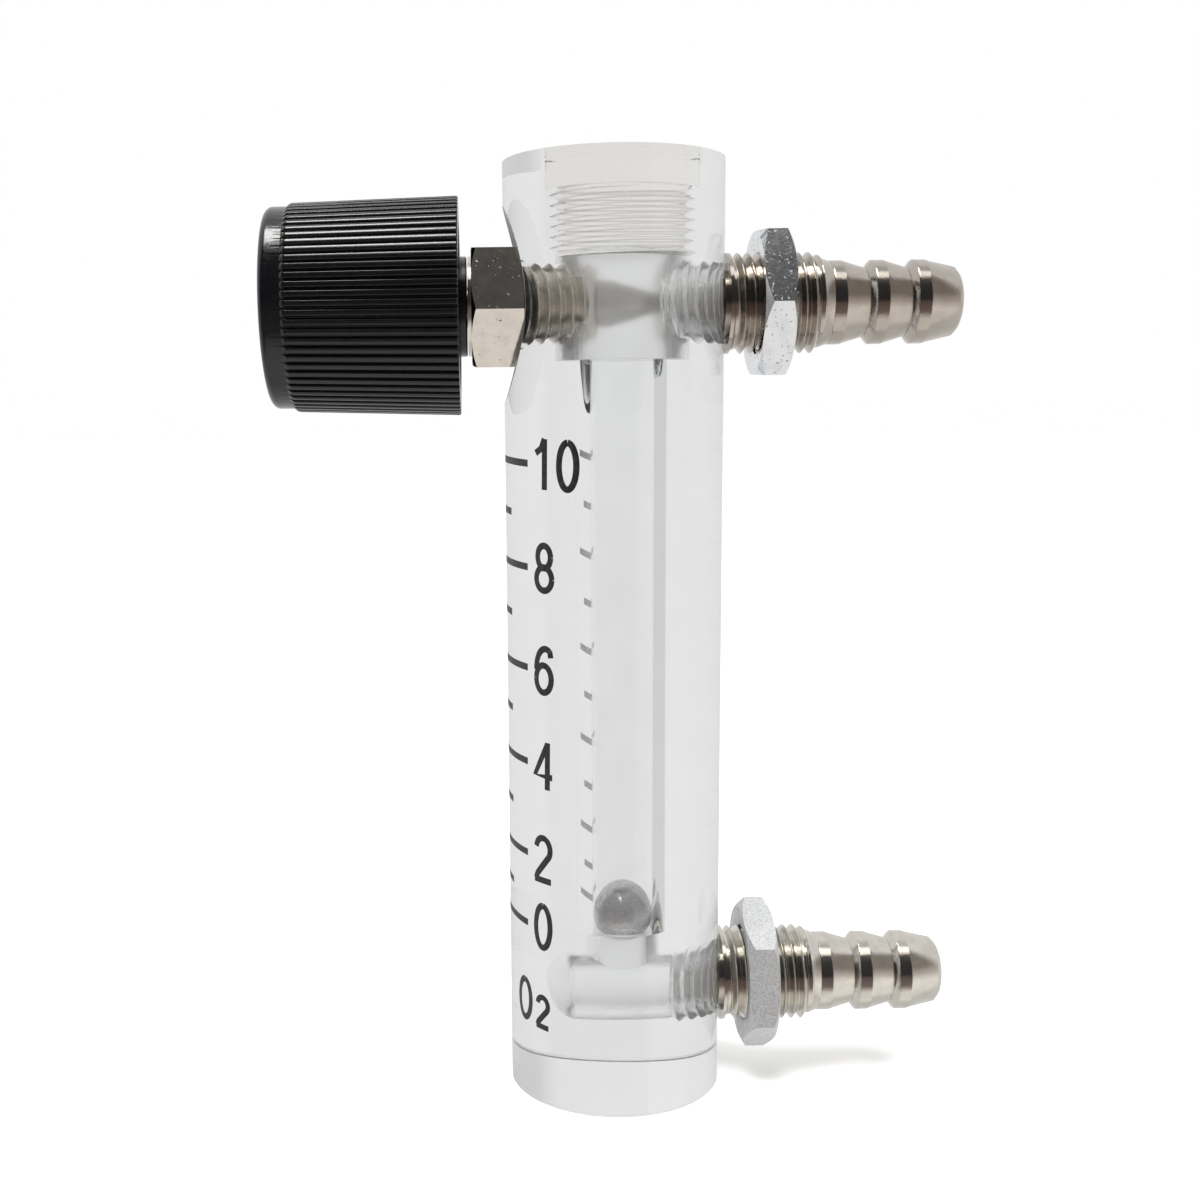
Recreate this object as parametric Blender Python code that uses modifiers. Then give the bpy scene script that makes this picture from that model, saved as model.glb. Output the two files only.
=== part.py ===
"""Oxygen flowmeter: a clear acrylic body with a tapered float tube, a needle valve and two hose connectors.

Metres, +Z up. The body's axis is Z and its flat foot is at Z = 0. The valve axis and the inlet axis run along X:
the knob is on the -X side and both hose connectors are on the +X side.
"""

import math

import bmesh
import bpy
from mathutils import Matrix

MM = 0.001

# Clearances
FIT_GAP = 0.30 * MM
SEAT_GAP = 0.10 * MM
SEAL_GAP = 0.12 * MM
OVERCUT = 1.0 * MM

# Body
BODY_RADIUS = 11.0 * MM
BODY_HEIGHT = 95.0 * MM
BODY_CHAMFER = 0.35 * MM
INLET_HEIGHT = 11.15 * MM
VALVE_DROP = 13.85 * MM
TUBE_OFFSET = 0.6 * MM

# Float and its tapered tube
FLOAT_RADIUS = 3.1 * MM
FLOAT_CLEARANCE = 0.08 * MM
TUBE_TAPER = 0.09 * MM
SEAT_HEIGHT = 6.1 * MM
RISER_RADIUS = 2.5 * MM

# Valve chamber and the plug that closes it
CHAMBER_RADIUS = 4.5 * MM
CHAMBER_DROP = 5.5 * MM
PLUG_THREAD_RADIUS = 5.0 * MM
PLUG_LENGTH = 9.4 * MM
PLUG_HEAD_RADIUS = 5.25 * MM
PLUG_HEAD_HEIGHT = 2.9 * MM
PLUG_TIP_CHAMFER = 0.4 * MM

# Threaded side ports, and the plain hole beyond the inlet port. The outlet port runs straight into the chamber
PORT_RADIUS = 4.0 * MM
INLET_PORT_DEPTH = 6.9 * MM
INLET_HOLE_RADIUS = 3.5 * MM
INLET_HOLE_REACH = 3.0 * MM
DRILL_HALF_ANGLE = math.radians(67.5)

# Countersunk face that the valve sits in
SPOT_FACE_DEPTH = 2.2 * MM
SPOT_FACE_RADIUS = 5.9 * MM
COUNTERSINK_HALF_ANGLE = math.radians(60)

# Hose connectors: lengths run outward from the shoulder on the body
PANEL_THREAD_RADIUS = 4.95 * MM
STUB_LENGTH = 6.6 * MM
BARB_COUNT = 3
BARB_PITCH = 4.15 * MM
BARB_START = 10.3 * MM
BARB_RADIUS = 4.12 * MM
BARB_ROOT_RADIUS = 3.4 * MM
BARB_LAND = 1.0 * MM
BARB_RISE = 0.5 * MM
NOSE_RADIUS = 2.9 * MM
NOSE_LENGTH = 0.6 * MM
HOSE_BORE_RADIUS = 2.25 * MM
SEAT_MOUTH_RADIUS = 1.45 * MM
SEAT_BORE_RADIUS = 0.95 * MM
SEAT_DEPTH = 0.7 * MM

# Lock nuts
HEX_CHAMFER_ANGLE = math.radians(27)
NUT_ACROSS_FLATS = 14.0 * MM
NUT_THICKNESS = 3.15 * MM
NUT_BORE_LEAD = 0.4 * MM
OUTLET_NUT_STAND_OFF = 3.05 * MM
INLET_NUT_STAND_OFF = 2.4 * MM
OUTLET_NUT_TURN = math.radians(4)
INLET_NUT_TURN = math.radians(24)

# Valve bonnet
BONNET_ACROSS_FLATS = 11.5 * MM
BONNET_HEX_LENGTH = 5.1 * MM
BONNET_HEX_TURN = math.radians(5.8)
BONNET_RING_RADIUS = 4.9 * MM
BONNET_RING_LENGTH = 0.35 * MM
BONNET_STUB_LENGTH = 7.2 * MM
BONNET_UNDERCUT_RADIUS = 3.05 * MM
BONNET_BORE_RADIUS = 2.55 * MM
SEAL_WIDTH = 1.6 * MM
SEAL_OUTER_RADIUS = 4.35 * MM
SEAL_INNER_RADIUS = 3.15 * MM
SEAL_ROUNDING = 0.48 * MM
SEAL_CORNER_POINTS = 3

# Needle stem
STEM_RADIUS = 2.25 * MM
NEEDLE_HALF_ANGLE = math.radians(15.5)
NEEDLE_TIP_RADIUS = 0.55 * MM
NEEDLE_TIP_X = 5.5 * MM
STEM_GROOVE_RADIUS = 1.4 * MM
STEM_GROOVE_WIDTH = 1.3 * MM
STEM_GROOVE_SETBACK = 2.7 * MM
STEM_SEAL_SECTION = 0.45 * MM
SHAFT_RADIUS = 2.0 * MM
SHAFT_LENGTH = 16.4 * MM
SHAFT_FLAT_DEPTH = 0.4 * MM

# Knob
KNOB_LENGTH = 18.9 * MM
KNOB_HUB_RADIUS = 4.9 * MM
KNOB_HUB_STEP = 0.75 * MM
KNOB_REAR_RADIUS = 10.7 * MM
KNOB_FRONT_RADIUS = 10.2 * MM
KNOB_BAND_RADIUS = 9.85 * MM
KNOB_BAND_LENGTH = 2.15 * MM
KNOB_EDGE_ROUNDING = 0.8 * MM
KNOB_EDGE_STEPS = 3
KNOB_WALL = 1.9 * MM
KNOB_FRONT_WALL = 3.3 * MM
KNOB_WEB_COUNT = 4
KNOB_WEB_THICKNESS = 1.2 * MM
KNOB_WEB_SETBACK = 0.8 * MM
RIB_COUNT = 72
RIB_DEPTH = 0.38 * MM
RIB_CREST_SHARE = 0.4
RIB_GROOVE_SHARE = 0.7
RIB_ROUNDING = 0.7 * MM
RIB_MIDDLE_SHARE = 0.45

# Knob cap and the screw under it
CAP_RADIUS = 7.2 * MM
CAP_THICKNESS = 0.9 * MM
CAP_SINK = 0.15 * MM
SCREW_HEAD_RADIUS = 1.9 * MM
SCREW_HEAD_HEIGHT = 1.0 * MM
SCREW_SHANK_RADIUS = 0.95 * MM
SCREW_REACH = 5.0 * MM
SCREW_SLOT_WIDTH = 0.5 * MM
SCREW_SLOT_DEPTH = 0.4 * MM

# Facets round a full turn
BODY_STEPS = 96
BORE_STEPS = 48
TURNED_STEPS = 40
SMALL_STEPS = 28
BALL_STEPS = 40
BALL_RINGS = 24
SEAL_SECTION_STEPS = 10

# Places worked out from the sizes above
VALVE_HEIGHT = BODY_HEIGHT - VALVE_DROP
CHAMBER_FLOOR = VALVE_HEIGHT - CHAMBER_DROP
FLOAT_SEAT = INLET_HEIGHT + SEAT_HEIGHT
TUBE_LOW_RADIUS = FLOAT_RADIUS + FLOAT_CLEARANCE
SPOT_FACE_X = -BODY_RADIUS + SPOT_FACE_DEPTH
HEX_FACE_X = SPOT_FACE_X - FIT_GAP
HEX_END_X = HEX_FACE_X - BONNET_HEX_LENGTH
BONNET_END_X = HEX_END_X - BONNET_RING_LENGTH
BONNET_NOSE_X = HEX_FACE_X + BONNET_STUB_LENGTH
STEM_GROOVE_X = BONNET_NOSE_X - STEM_GROOVE_SETBACK
SEAL_X = HEX_FACE_X + SEAL_GAP
HUB_FACE_X = BONNET_END_X - SEAT_GAP
KNOB_REAR_X = HUB_FACE_X - KNOB_HUB_STEP
KNOB_FRONT_X = KNOB_REAR_X - KNOB_LENGTH
KNOB_INNER_X = KNOB_FRONT_X + KNOB_FRONT_WALL
SHAFT_SHOULDER_X = BONNET_END_X + FIT_GAP
SHAFT_END_X = SHAFT_SHOULDER_X - SHAFT_LENGTH
CAP_FLOOR_X = KNOB_FRONT_X + CAP_SINK + CAP_THICKNESS + SEAT_GAP
SCREW_SEAT_X = CAP_FLOOR_X + SCREW_HEAD_HEIGHT + 2 * SEAT_GAP
SHOULDER_X = BODY_RADIUS + SEAT_GAP
CONNECTOR_END = BARB_START + BARB_COUNT * BARB_PITCH + NOSE_LENGTH


def clear_scene():
    for item in list(bpy.data.objects):
        bpy.data.objects.remove(item, do_unlink=True)


def make_collection(name):
    collection = bpy.data.collections.new(name)
    bpy.context.scene.collection.children.link(collection)
    return collection


def make_material(name, colour, roughness, metallic=0.0, transmission=0.0, ior=1.49):
    material = bpy.data.materials.new(name)
    material.use_nodes = True
    shader = material.node_tree.nodes["Principled BSDF"]
    shader.inputs["Base Color"].default_value = (*colour, 1.0)
    shader.inputs["Roughness"].default_value = roughness
    shader.inputs["Metallic"].default_value = metallic
    shader.inputs["Transmission Weight"].default_value = transmission
    shader.inputs["IOR"].default_value = ior
    return material


def add_object(name, mesh, collection, material=None):
    item = bpy.data.objects.new(name, mesh)
    collection.objects.link(item)
    if material:
        mesh.materials.append(material)
    return item


def make_cutter(item):
    item.hide_render = True
    item.display_type = "WIRE"
    return item


def lay_along_x(item, height):
    """Turns a piece's own Z onto world X, so that its lengths are world X, and lifts it to an axis."""
    item.rotation_euler = (0.0, math.pi / 2, 0.0)
    item.location = (0.0, 0.0, height)
    return item


def turned(name, profile, steps, collection, material=None, ring=False):
    """A turned piece. The profile is (radius, length) points that run down the outer side, highest first."""
    mesh = bpy.data.meshes.new(name)
    edges = [(i, i + 1) for i in range(len(profile) - 1)]
    if ring:
        edges.append((len(profile) - 1, 0))
    mesh.from_pydata([(radius, 0.0, length) for radius, length in profile], edges, [])
    item = add_object(name, mesh, collection, material)
    screw = item.modifiers.new("Turn", "SCREW")
    screw.axis = "Z"
    screw.angle = 2 * math.pi
    screw.steps = steps
    screw.render_steps = steps
    screw.use_merge_vertices = True
    screw.merge_threshold = 0.00001
    screw.use_smooth_shade = True
    return item


def boolean(item, other, operation="DIFFERENCE"):
    modifier = item.modifiers.new(other.name, "BOOLEAN")
    modifier.operation = operation
    modifier.object = other
    modifier.solver = "EXACT"
    return modifier


def hexagon(name, across_flats, low, high, turn, collection, material=None):
    """A hexagonal bar along the piece's own Z, with a corner turned from its +Y side."""
    mesh = bpy.data.meshes.new(name)
    shape = bmesh.new()
    corner = across_flats / math.sqrt(3)
    bmesh.ops.create_cone(
        shape, cap_ends=True, segments=6, radius1=corner, radius2=corner, depth=high - low
    )
    bmesh.ops.rotate(shape, verts=shape.verts, matrix=Matrix.Rotation(turn, 3, "Z"))
    bmesh.ops.translate(shape, verts=shape.verts, vec=(0.0, 0.0, (low + high) / 2))
    shape.to_mesh(mesh)
    shape.free()
    return add_object(name, mesh, collection, material)


def box(name, centre, size, collection):
    mesh = bpy.data.meshes.new(name)
    shape = bmesh.new()
    bmesh.ops.create_cube(shape, size=1.0)
    bmesh.ops.scale(shape, verts=shape.verts, vec=size)
    bmesh.ops.translate(shape, verts=shape.verts, vec=centre)
    shape.to_mesh(mesh)
    shape.free()
    return add_object(name, mesh, collection)


def hexagon_ends(low, high, across_flats):
    """Profile points round the outer side of a hexagon whose corners are chamfered at both ends."""
    flat = across_flats / 2
    outer = across_flats / math.sqrt(3) + OVERCUT
    drop = (outer - flat) * math.tan(HEX_CHAMFER_ANGLE)
    return [(flat, high), (outer, high - drop), (outer, low + drop), (flat, low)]


def build_body(parts, cutters, material):
    edge = BODY_CHAMFER
    profile = [
        (0.0, BODY_HEIGHT),
        (BODY_RADIUS - edge, BODY_HEIGHT),
        (BODY_RADIUS, BODY_HEIGHT - edge),
        (BODY_RADIUS, edge),
        (BODY_RADIUS - edge, 0.0),
        (0.0, 0.0),
    ]
    body = turned("body", profile, BODY_STEPS, parts, material)
    for cutter in (tube_cutter(cutters), valve_axis_cutter(cutters), inlet_cutter(cutters)):
        boolean(body, make_cutter(cutter))
    return body


def tube_cutter(cutters):
    """Riser hole, tapered float tube, valve chamber, plug thread and head recess, as one stepped hole from the top."""
    top = BODY_HEIGHT + OVERCUT
    head_floor = BODY_HEIGHT - PLUG_HEAD_HEIGHT - SEAT_GAP
    thread_end = BODY_HEIGHT - PLUG_LENGTH - FIT_GAP
    head_radius = PLUG_HEAD_RADIUS + SEAL_GAP
    profile = [
        (0.0, top),
        (head_radius, top),
        (head_radius, head_floor),
        (PLUG_THREAD_RADIUS, head_floor),
        (PLUG_THREAD_RADIUS, thread_end),
        (CHAMBER_RADIUS, thread_end - (PLUG_THREAD_RADIUS - CHAMBER_RADIUS)),
        (CHAMBER_RADIUS, CHAMBER_FLOOR),
        (TUBE_LOW_RADIUS + TUBE_TAPER, CHAMBER_FLOOR),
        (TUBE_LOW_RADIUS, FLOAT_SEAT),
        (RISER_RADIUS, FLOAT_SEAT),
        (RISER_RADIUS, INLET_HEIGHT),
        (0.0, INLET_HEIGHT),
    ]
    cutter = turned("tube_cutter", profile, BORE_STEPS, cutters)
    cutter.location.x = TUBE_OFFSET
    return cutter


def valve_axis_cutter(cutters):
    """The cross hole on the valve axis, from the outlet port through the chamber to the countersunk valve face."""
    outlet_start = BODY_RADIUS + OVERCUT
    seal_radius = SEAL_OUTER_RADIUS + FIT_GAP
    seal_floor = SEAL_X + SEAL_WIDTH + FIT_GAP
    valve_start = -BODY_RADIUS - OVERCUT
    wide = SPOT_FACE_RADIUS + (SPOT_FACE_X - valve_start) * math.tan(COUNTERSINK_HALF_ANGLE)
    profile = [
        (0.0, outlet_start),
        (PORT_RADIUS, outlet_start),
        (PORT_RADIUS, seal_floor),
        (seal_radius, seal_floor),
        (seal_radius, SPOT_FACE_X),
        (SPOT_FACE_RADIUS, SPOT_FACE_X),
        (wide, valve_start),
        (0.0, valve_start),
    ]
    return lay_along_x(turned("valve_axis_cutter", profile, BORE_STEPS, cutters), VALVE_HEIGHT)


def inlet_cutter(cutters):
    """The threaded inlet port and the drilled hole that runs on under the float's seat."""
    start = BODY_RADIUS + OVERCUT
    thread_end = BODY_RADIUS - INLET_PORT_DEPTH
    tip = -INLET_HOLE_REACH - INLET_HOLE_RADIUS / math.tan(DRILL_HALF_ANGLE)
    profile = [
        (0.0, start),
        (PORT_RADIUS, start),
        (PORT_RADIUS, thread_end),
        (INLET_HOLE_RADIUS, thread_end - (PORT_RADIUS - INLET_HOLE_RADIUS)),
        (INLET_HOLE_RADIUS, -INLET_HOLE_REACH),
        (0.0, tip),
    ]
    return lay_along_x(turned("inlet_cutter", profile, BORE_STEPS, cutters), INLET_HEIGHT)


def build_top_plug(parts, material):
    head_floor = BODY_HEIGHT - PLUG_HEAD_HEIGHT
    shank = PLUG_THREAD_RADIUS - FIT_GAP
    tip = BODY_HEIGHT - PLUG_LENGTH
    profile = [
        (0.0, BODY_HEIGHT),
        (PLUG_HEAD_RADIUS, BODY_HEIGHT),
        (PLUG_HEAD_RADIUS, head_floor),
        (shank, head_floor),
        (shank, tip + PLUG_TIP_CHAMFER),
        (shank - PLUG_TIP_CHAMFER, tip),
        (0.0, tip),
    ]
    plug = turned("top_plug", profile, BORE_STEPS, parts, material)
    plug.location.x = TUBE_OFFSET
    return plug


def build_float(parts, material):
    """The ball rests on the rim of the riser hole."""
    mesh = bpy.data.meshes.new("float_ball")
    shape = bmesh.new()
    bmesh.ops.create_uvsphere(shape, u_segments=BALL_STEPS, v_segments=BALL_RINGS, radius=FLOAT_RADIUS)
    shape.to_mesh(mesh)
    shape.free()
    ball = add_object("float_ball", mesh, parts, material)
    mesh.shade_smooth()
    seated = math.sqrt(FLOAT_RADIUS**2 - RISER_RADIUS**2)
    ball.location = (TUBE_OFFSET, 0.0, FLOAT_SEAT + seated + SEAT_GAP)
    return ball


def build_bonnet(parts, cutters, material):
    """The valve bonnet, turned from hexagonal bar: hexagon, seal undercut, threaded stub and a bore for the stem."""
    stub = PORT_RADIUS - FIT_GAP
    stub_start = SEAL_X + SEAL_WIDTH + SEAL_GAP
    tip = (stub - BONNET_BORE_RADIUS) / 3
    profile = [
        (BONNET_BORE_RADIUS, BONNET_NOSE_X),
        (stub - tip, BONNET_NOSE_X),
        (stub, BONNET_NOSE_X - tip),
        (stub, stub_start),
        (BONNET_UNDERCUT_RADIUS, stub_start),
        (BONNET_UNDERCUT_RADIUS, HEX_FACE_X),
        *hexagon_ends(HEX_END_X, HEX_FACE_X, BONNET_ACROSS_FLATS),
        (BONNET_RING_RADIUS, HEX_END_X),
        (BONNET_RING_RADIUS, BONNET_END_X),
        (BONNET_BORE_RADIUS, BONNET_END_X),
    ]
    low, high = BONNET_END_X - OVERCUT, BONNET_NOSE_X + OVERCUT
    bonnet = hexagon("valve_bonnet", BONNET_ACROSS_FLATS, low, high, BONNET_HEX_TURN, parts, material)
    form = turned("bonnet_turning_form", profile, TURNED_STEPS, cutters, ring=True)
    boolean(bonnet, make_cutter(form), "INTERSECT")
    lay_along_x(form, VALVE_HEIGHT)
    return lay_along_x(bonnet, VALVE_HEIGHT)


def build_bonnet_seal(parts, material):
    """A rubber ring squeezed between the hexagon and its recess, so its section is a rounded oblong."""
    low, high = SEAL_X, SEAL_X + SEAL_WIDTH
    round_off = SEAL_ROUNDING
    corners = (
        (SEAL_OUTER_RADIUS, high, 1, 1),
        (SEAL_OUTER_RADIUS, low, 1, -1),
        (SEAL_INNER_RADIUS, low, -1, -1),
        (SEAL_INNER_RADIUS, high, -1, 1),
    )
    profile = []
    for corner, (radius, length, out, up) in enumerate(corners):
        centre_radius = radius - out * round_off
        centre_length = length - up * round_off
        for step in range(SEAL_CORNER_POINTS):
            angle = math.pi / 2 * (1 - corner - step / (SEAL_CORNER_POINTS - 1))
            profile.append(
                (centre_radius + round_off * math.cos(angle), centre_length + round_off * math.sin(angle))
            )
    seal = turned("bonnet_oring", profile, TURNED_STEPS, parts, material, ring=True)
    return lay_along_x(seal, VALVE_HEIGHT)


def build_stem(parts, cutters, material):
    """The needle, its seal groove, the threaded stem and the flatted shaft that carries the knob, in one piece."""
    needle_length = (STEM_RADIUS - NEEDLE_TIP_RADIUS) / math.tan(NEEDLE_HALF_ANGLE)
    needle_base = NEEDLE_TIP_X - needle_length
    groove_end = STEM_GROOVE_X + STEM_GROOVE_WIDTH
    screw_hole = SCREW_SHANK_RADIUS + FIT_GAP
    hole_end = SHAFT_END_X + SCREW_REACH
    profile = [
        (0.0, NEEDLE_TIP_X),
        (NEEDLE_TIP_RADIUS, NEEDLE_TIP_X),
        (STEM_RADIUS, needle_base),
        (STEM_RADIUS, groove_end),
        (STEM_GROOVE_RADIUS, groove_end),
        (STEM_GROOVE_RADIUS, STEM_GROOVE_X),
        (STEM_RADIUS, STEM_GROOVE_X),
        (STEM_RADIUS, SHAFT_SHOULDER_X),
        (SHAFT_RADIUS, SHAFT_SHOULDER_X),
        (SHAFT_RADIUS, SHAFT_END_X),
        (screw_hole, SHAFT_END_X),
        (screw_hole, hole_end),
        (0.0, hole_end),
    ]
    stem = turned("needle_stem", profile, SMALL_STEPS, parts, material)
    flat = shaft_flat("shaft_flat_cutter", SHAFT_RADIUS - SHAFT_FLAT_DEPTH, HUB_FACE_X, cutters)
    boolean(stem, make_cutter(flat))
    lay_along_x(flat, VALVE_HEIGHT)
    return lay_along_x(stem, VALVE_HEIGHT)


def shaft_flat(name, height, start_x, cutters):
    """A block whose lower face is the flat along the knob's end of the shaft."""
    low = SHAFT_END_X - OVERCUT
    size = (2 * STEM_RADIUS, 4 * STEM_RADIUS, start_x - low)
    return box(name, (height + size[0] / 2, 0.0, (start_x + low) / 2), size, cutters)


def build_stem_seal(parts, material):
    mean = STEM_GROOVE_RADIUS + SEAL_GAP + STEM_SEAL_SECTION
    centre = STEM_GROOVE_X + STEM_GROOVE_WIDTH / 2
    profile = []
    for step in range(SEAL_SECTION_STEPS):
        angle = math.pi / 2 - 2 * math.pi * step / SEAL_SECTION_STEPS
        profile.append(
            (mean + STEM_SEAL_SECTION * math.cos(angle), centre + STEM_SEAL_SECTION * math.sin(angle))
        )
    seal = turned("stem_oring", profile, SMALL_STEPS, parts, material, ring=True)
    return lay_along_x(seal, VALVE_HEIGHT)


def knob_rings():
    """(length, crest radius, groove radius) of each ring of the knob's outside, from its front face to its rear rim."""
    rings = []
    for step in range(KNOB_EDGE_STEPS + 1):
        angle = math.pi / 2 * (1 - step / KNOB_EDGE_STEPS)
        inset = KNOB_EDGE_ROUNDING * (1 - math.cos(angle))
        advance = KNOB_EDGE_ROUNDING * (1 - math.sin(angle))
        rings.append((KNOB_FRONT_X + advance, KNOB_BAND_RADIUS - inset, KNOB_BAND_RADIUS - inset))
    start = KNOB_FRONT_X + KNOB_BAND_LENGTH
    rings.append((start, KNOB_BAND_RADIUS, KNOB_BAND_RADIUS))
    for share in (RIB_MIDDLE_SHARE, 1.0):
        length = start + RIB_ROUNDING * share
        swell = math.sin(math.pi / 2 * share)
        crest = KNOB_BAND_RADIUS + (KNOB_FRONT_RADIUS - KNOB_BAND_RADIUS) * swell
        root = KNOB_BAND_RADIUS + (KNOB_FRONT_RADIUS - RIB_DEPTH - KNOB_BAND_RADIUS) * swell
        rings.append((length, crest, root))
    rings.append((KNOB_REAR_X, KNOB_REAR_RADIUS, KNOB_REAR_RADIUS - RIB_DEPTH))
    return rings


def ribbed_form(name, collection, material):
    """A loft through the knob's rings: each rib has two points on its crest and one in the groove beside it."""
    mesh = bpy.data.meshes.new(name)
    shape = bmesh.new()
    loops = []
    for length, crest, root in knob_rings():
        loop = []
        for rib in range(RIB_COUNT):
            for share, radius in ((0.0, crest), (RIB_CREST_SHARE, crest), (RIB_GROOVE_SHARE, root)):
                angle = 2 * math.pi * (rib + share) / RIB_COUNT
                place = (radius * math.cos(angle), radius * math.sin(angle), length)
                loop.append(shape.verts.new(place))
        loops.append(loop)
    for lower, upper in zip(loops, loops[1:]):
        count = len(lower)
        for i in range(count):
            j = (i + 1) % count
            shape.faces.new((lower[i], lower[j], upper[j], upper[i]))
    shape.faces.new(list(reversed(loops[0])))
    shape.faces.new(loops[-1])
    shape.to_mesh(mesh)
    shape.free()
    return add_object(name, mesh, collection, material)


def build_knob(parts, cutters, material):
    """A moulded knob: ribbed shell, front wall, hub on the shaft and webs between the hub and the shell."""
    knob = ribbed_form("knob", parts, material)
    inner = KNOB_FRONT_RADIUS - KNOB_WALL
    cavity_start = KNOB_REAR_X + OVERCUT
    cavity_profile = [(0.0, cavity_start), (inner, cavity_start), (inner, KNOB_INNER_X), (0.0, KNOB_INNER_X)]
    cavity = turned("knob_cavity_cutter", cavity_profile, BORE_STEPS, cutters)
    root_x = KNOB_INNER_X - KNOB_FRONT_WALL / 4
    hub_profile = [(0.0, HUB_FACE_X), (KNOB_HUB_RADIUS, HUB_FACE_X), (KNOB_HUB_RADIUS, root_x), (0.0, root_x)]
    hub = turned("knob_hub_form", hub_profile, TURNED_STEPS, cutters)
    webs = knob_webs(inner, cutters)
    bore = knob_bore_cutter(cutters)
    boolean(knob, make_cutter(cavity))
    boolean(knob, make_cutter(hub), "UNION")
    boolean(knob, make_cutter(webs), "UNION")
    boolean(knob, make_cutter(bore))
    for item in (cavity, hub, webs, bore):
        lay_along_x(item, VALVE_HEIGHT)
    return lay_along_x(knob, VALVE_HEIGHT)


def knob_webs(inner, cutters):
    """Flat webs from inside the hub's wall to inside the shell's, evenly round the knob."""
    low = KNOB_INNER_X - KNOB_FRONT_WALL / 5
    high = KNOB_REAR_X - KNOB_WEB_SETBACK
    near = (KNOB_HUB_RADIUS + SHAFT_RADIUS + FIT_GAP) / 2
    far = inner + KNOB_WALL / 3
    mesh = bpy.data.meshes.new("knob_web_form")
    shape = bmesh.new()
    for index in range(KNOB_WEB_COUNT):
        web = bmesh.ops.create_cube(shape, size=1.0)["verts"]
        bmesh.ops.scale(shape, verts=web, vec=(far - near, KNOB_WEB_THICKNESS, high - low))
        bmesh.ops.translate(shape, verts=web, vec=((near + far) / 2, 0.0, (low + high) / 2))
        turn = 2 * math.pi * (index + 0.5) / KNOB_WEB_COUNT
        bmesh.ops.rotate(shape, verts=web, matrix=Matrix.Rotation(turn, 3, "Z"))
    shape.to_mesh(mesh)
    shape.free()
    return add_object("knob_web_form", mesh, cutters)


def knob_bore_cutter(cutters):
    """Shaft bore with its flat, screw hole, screw-head pocket and cap recess, all on the knob's axis."""
    shaft_bore = SHAFT_RADIUS + FIT_GAP
    bore_end = SHAFT_END_X - FIT_GAP
    screw_hole = SCREW_SHANK_RADIUS + FIT_GAP
    head_bore = SCREW_HEAD_RADIUS + FIT_GAP
    cap_bore = CAP_RADIUS + SEAL_GAP
    bore = turned(
        "knob_bore_cutter",
        [
            (0.0, HUB_FACE_X + OVERCUT),
            (shaft_bore, HUB_FACE_X + OVERCUT),
            (shaft_bore, bore_end),
            (screw_hole, bore_end),
            (screw_hole, SCREW_SEAT_X),
            (head_bore, SCREW_SEAT_X),
            (head_bore, CAP_FLOOR_X),
            (cap_bore, CAP_FLOOR_X),
            (cap_bore, KNOB_FRONT_X - OVERCUT),
            (0.0, KNOB_FRONT_X - OVERCUT),
        ],
        TURNED_STEPS,
        cutters,
    )
    low = bore_end - OVERCUT / 2
    high = HUB_FACE_X + 2 * OVERCUT
    height = SHAFT_RADIUS - SHAFT_FLAT_DEPTH + FIT_GAP
    size = (2 * STEM_RADIUS, 4 * STEM_RADIUS, high - low)
    flat = box("knob_flat_cutter", (height + size[0] / 2, 0.0, (high + low) / 2), size, cutters)
    lay_along_x(flat, VALVE_HEIGHT)
    boolean(bore, make_cutter(flat))
    return bore


def build_knob_cap(parts, material):
    outer_x = KNOB_FRONT_X + CAP_SINK
    edge = CAP_THICKNESS / 3
    profile = [
        (0.0, outer_x + CAP_THICKNESS),
        (CAP_RADIUS, outer_x + CAP_THICKNESS),
        (CAP_RADIUS, outer_x + edge),
        (CAP_RADIUS - edge, outer_x),
        (0.0, outer_x),
    ]
    return lay_along_x(turned("knob_cap", profile, TURNED_STEPS, parts, material), VALVE_HEIGHT)


def build_knob_screw(parts, cutters, material):
    head_high = SCREW_SEAT_X - SEAT_GAP
    head_low = head_high - SCREW_HEAD_HEIGHT
    reach = SHAFT_END_X + SCREW_REACH - FIT_GAP
    edge = SCREW_HEAD_HEIGHT / 4
    profile = [
        (0.0, reach),
        (SCREW_SHANK_RADIUS, reach),
        (SCREW_SHANK_RADIUS, head_high),
        (SCREW_HEAD_RADIUS, head_high),
        (SCREW_HEAD_RADIUS, head_low + edge),
        (SCREW_HEAD_RADIUS - edge, head_low),
        (0.0, head_low),
    ]
    screw = turned("knob_screw", profile, SMALL_STEPS, parts, material)
    size = (SCREW_SLOT_WIDTH, 2 * SCREW_HEAD_RADIUS + OVERCUT, 2 * SCREW_SLOT_DEPTH)
    slot = box("screw_slot_cutter", (0.0, 0.0, head_low), size, cutters)
    boolean(screw, make_cutter(slot))
    lay_along_x(slot, VALVE_HEIGHT)
    return lay_along_x(screw, VALVE_HEIGHT)


def barb_profile():
    """The hose tail's outside from its nose back to the panel thread, as (radius, length) points."""
    tail = SHOULDER_X + CONNECTOR_END
    points = [(NOSE_RADIUS, tail), (BARB_ROOT_RADIUS, tail - NOSE_LENGTH)]
    for index in reversed(range(BARB_COUNT)):
        start = SHOULDER_X + BARB_START + BARB_PITCH * index
        if index < BARB_COUNT - 1:
            points.append((BARB_ROOT_RADIUS, start + BARB_PITCH - BARB_RISE))
        points.append((BARB_RADIUS, start + BARB_LAND))
        points.append((BARB_RADIUS, start))
    return points


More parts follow.
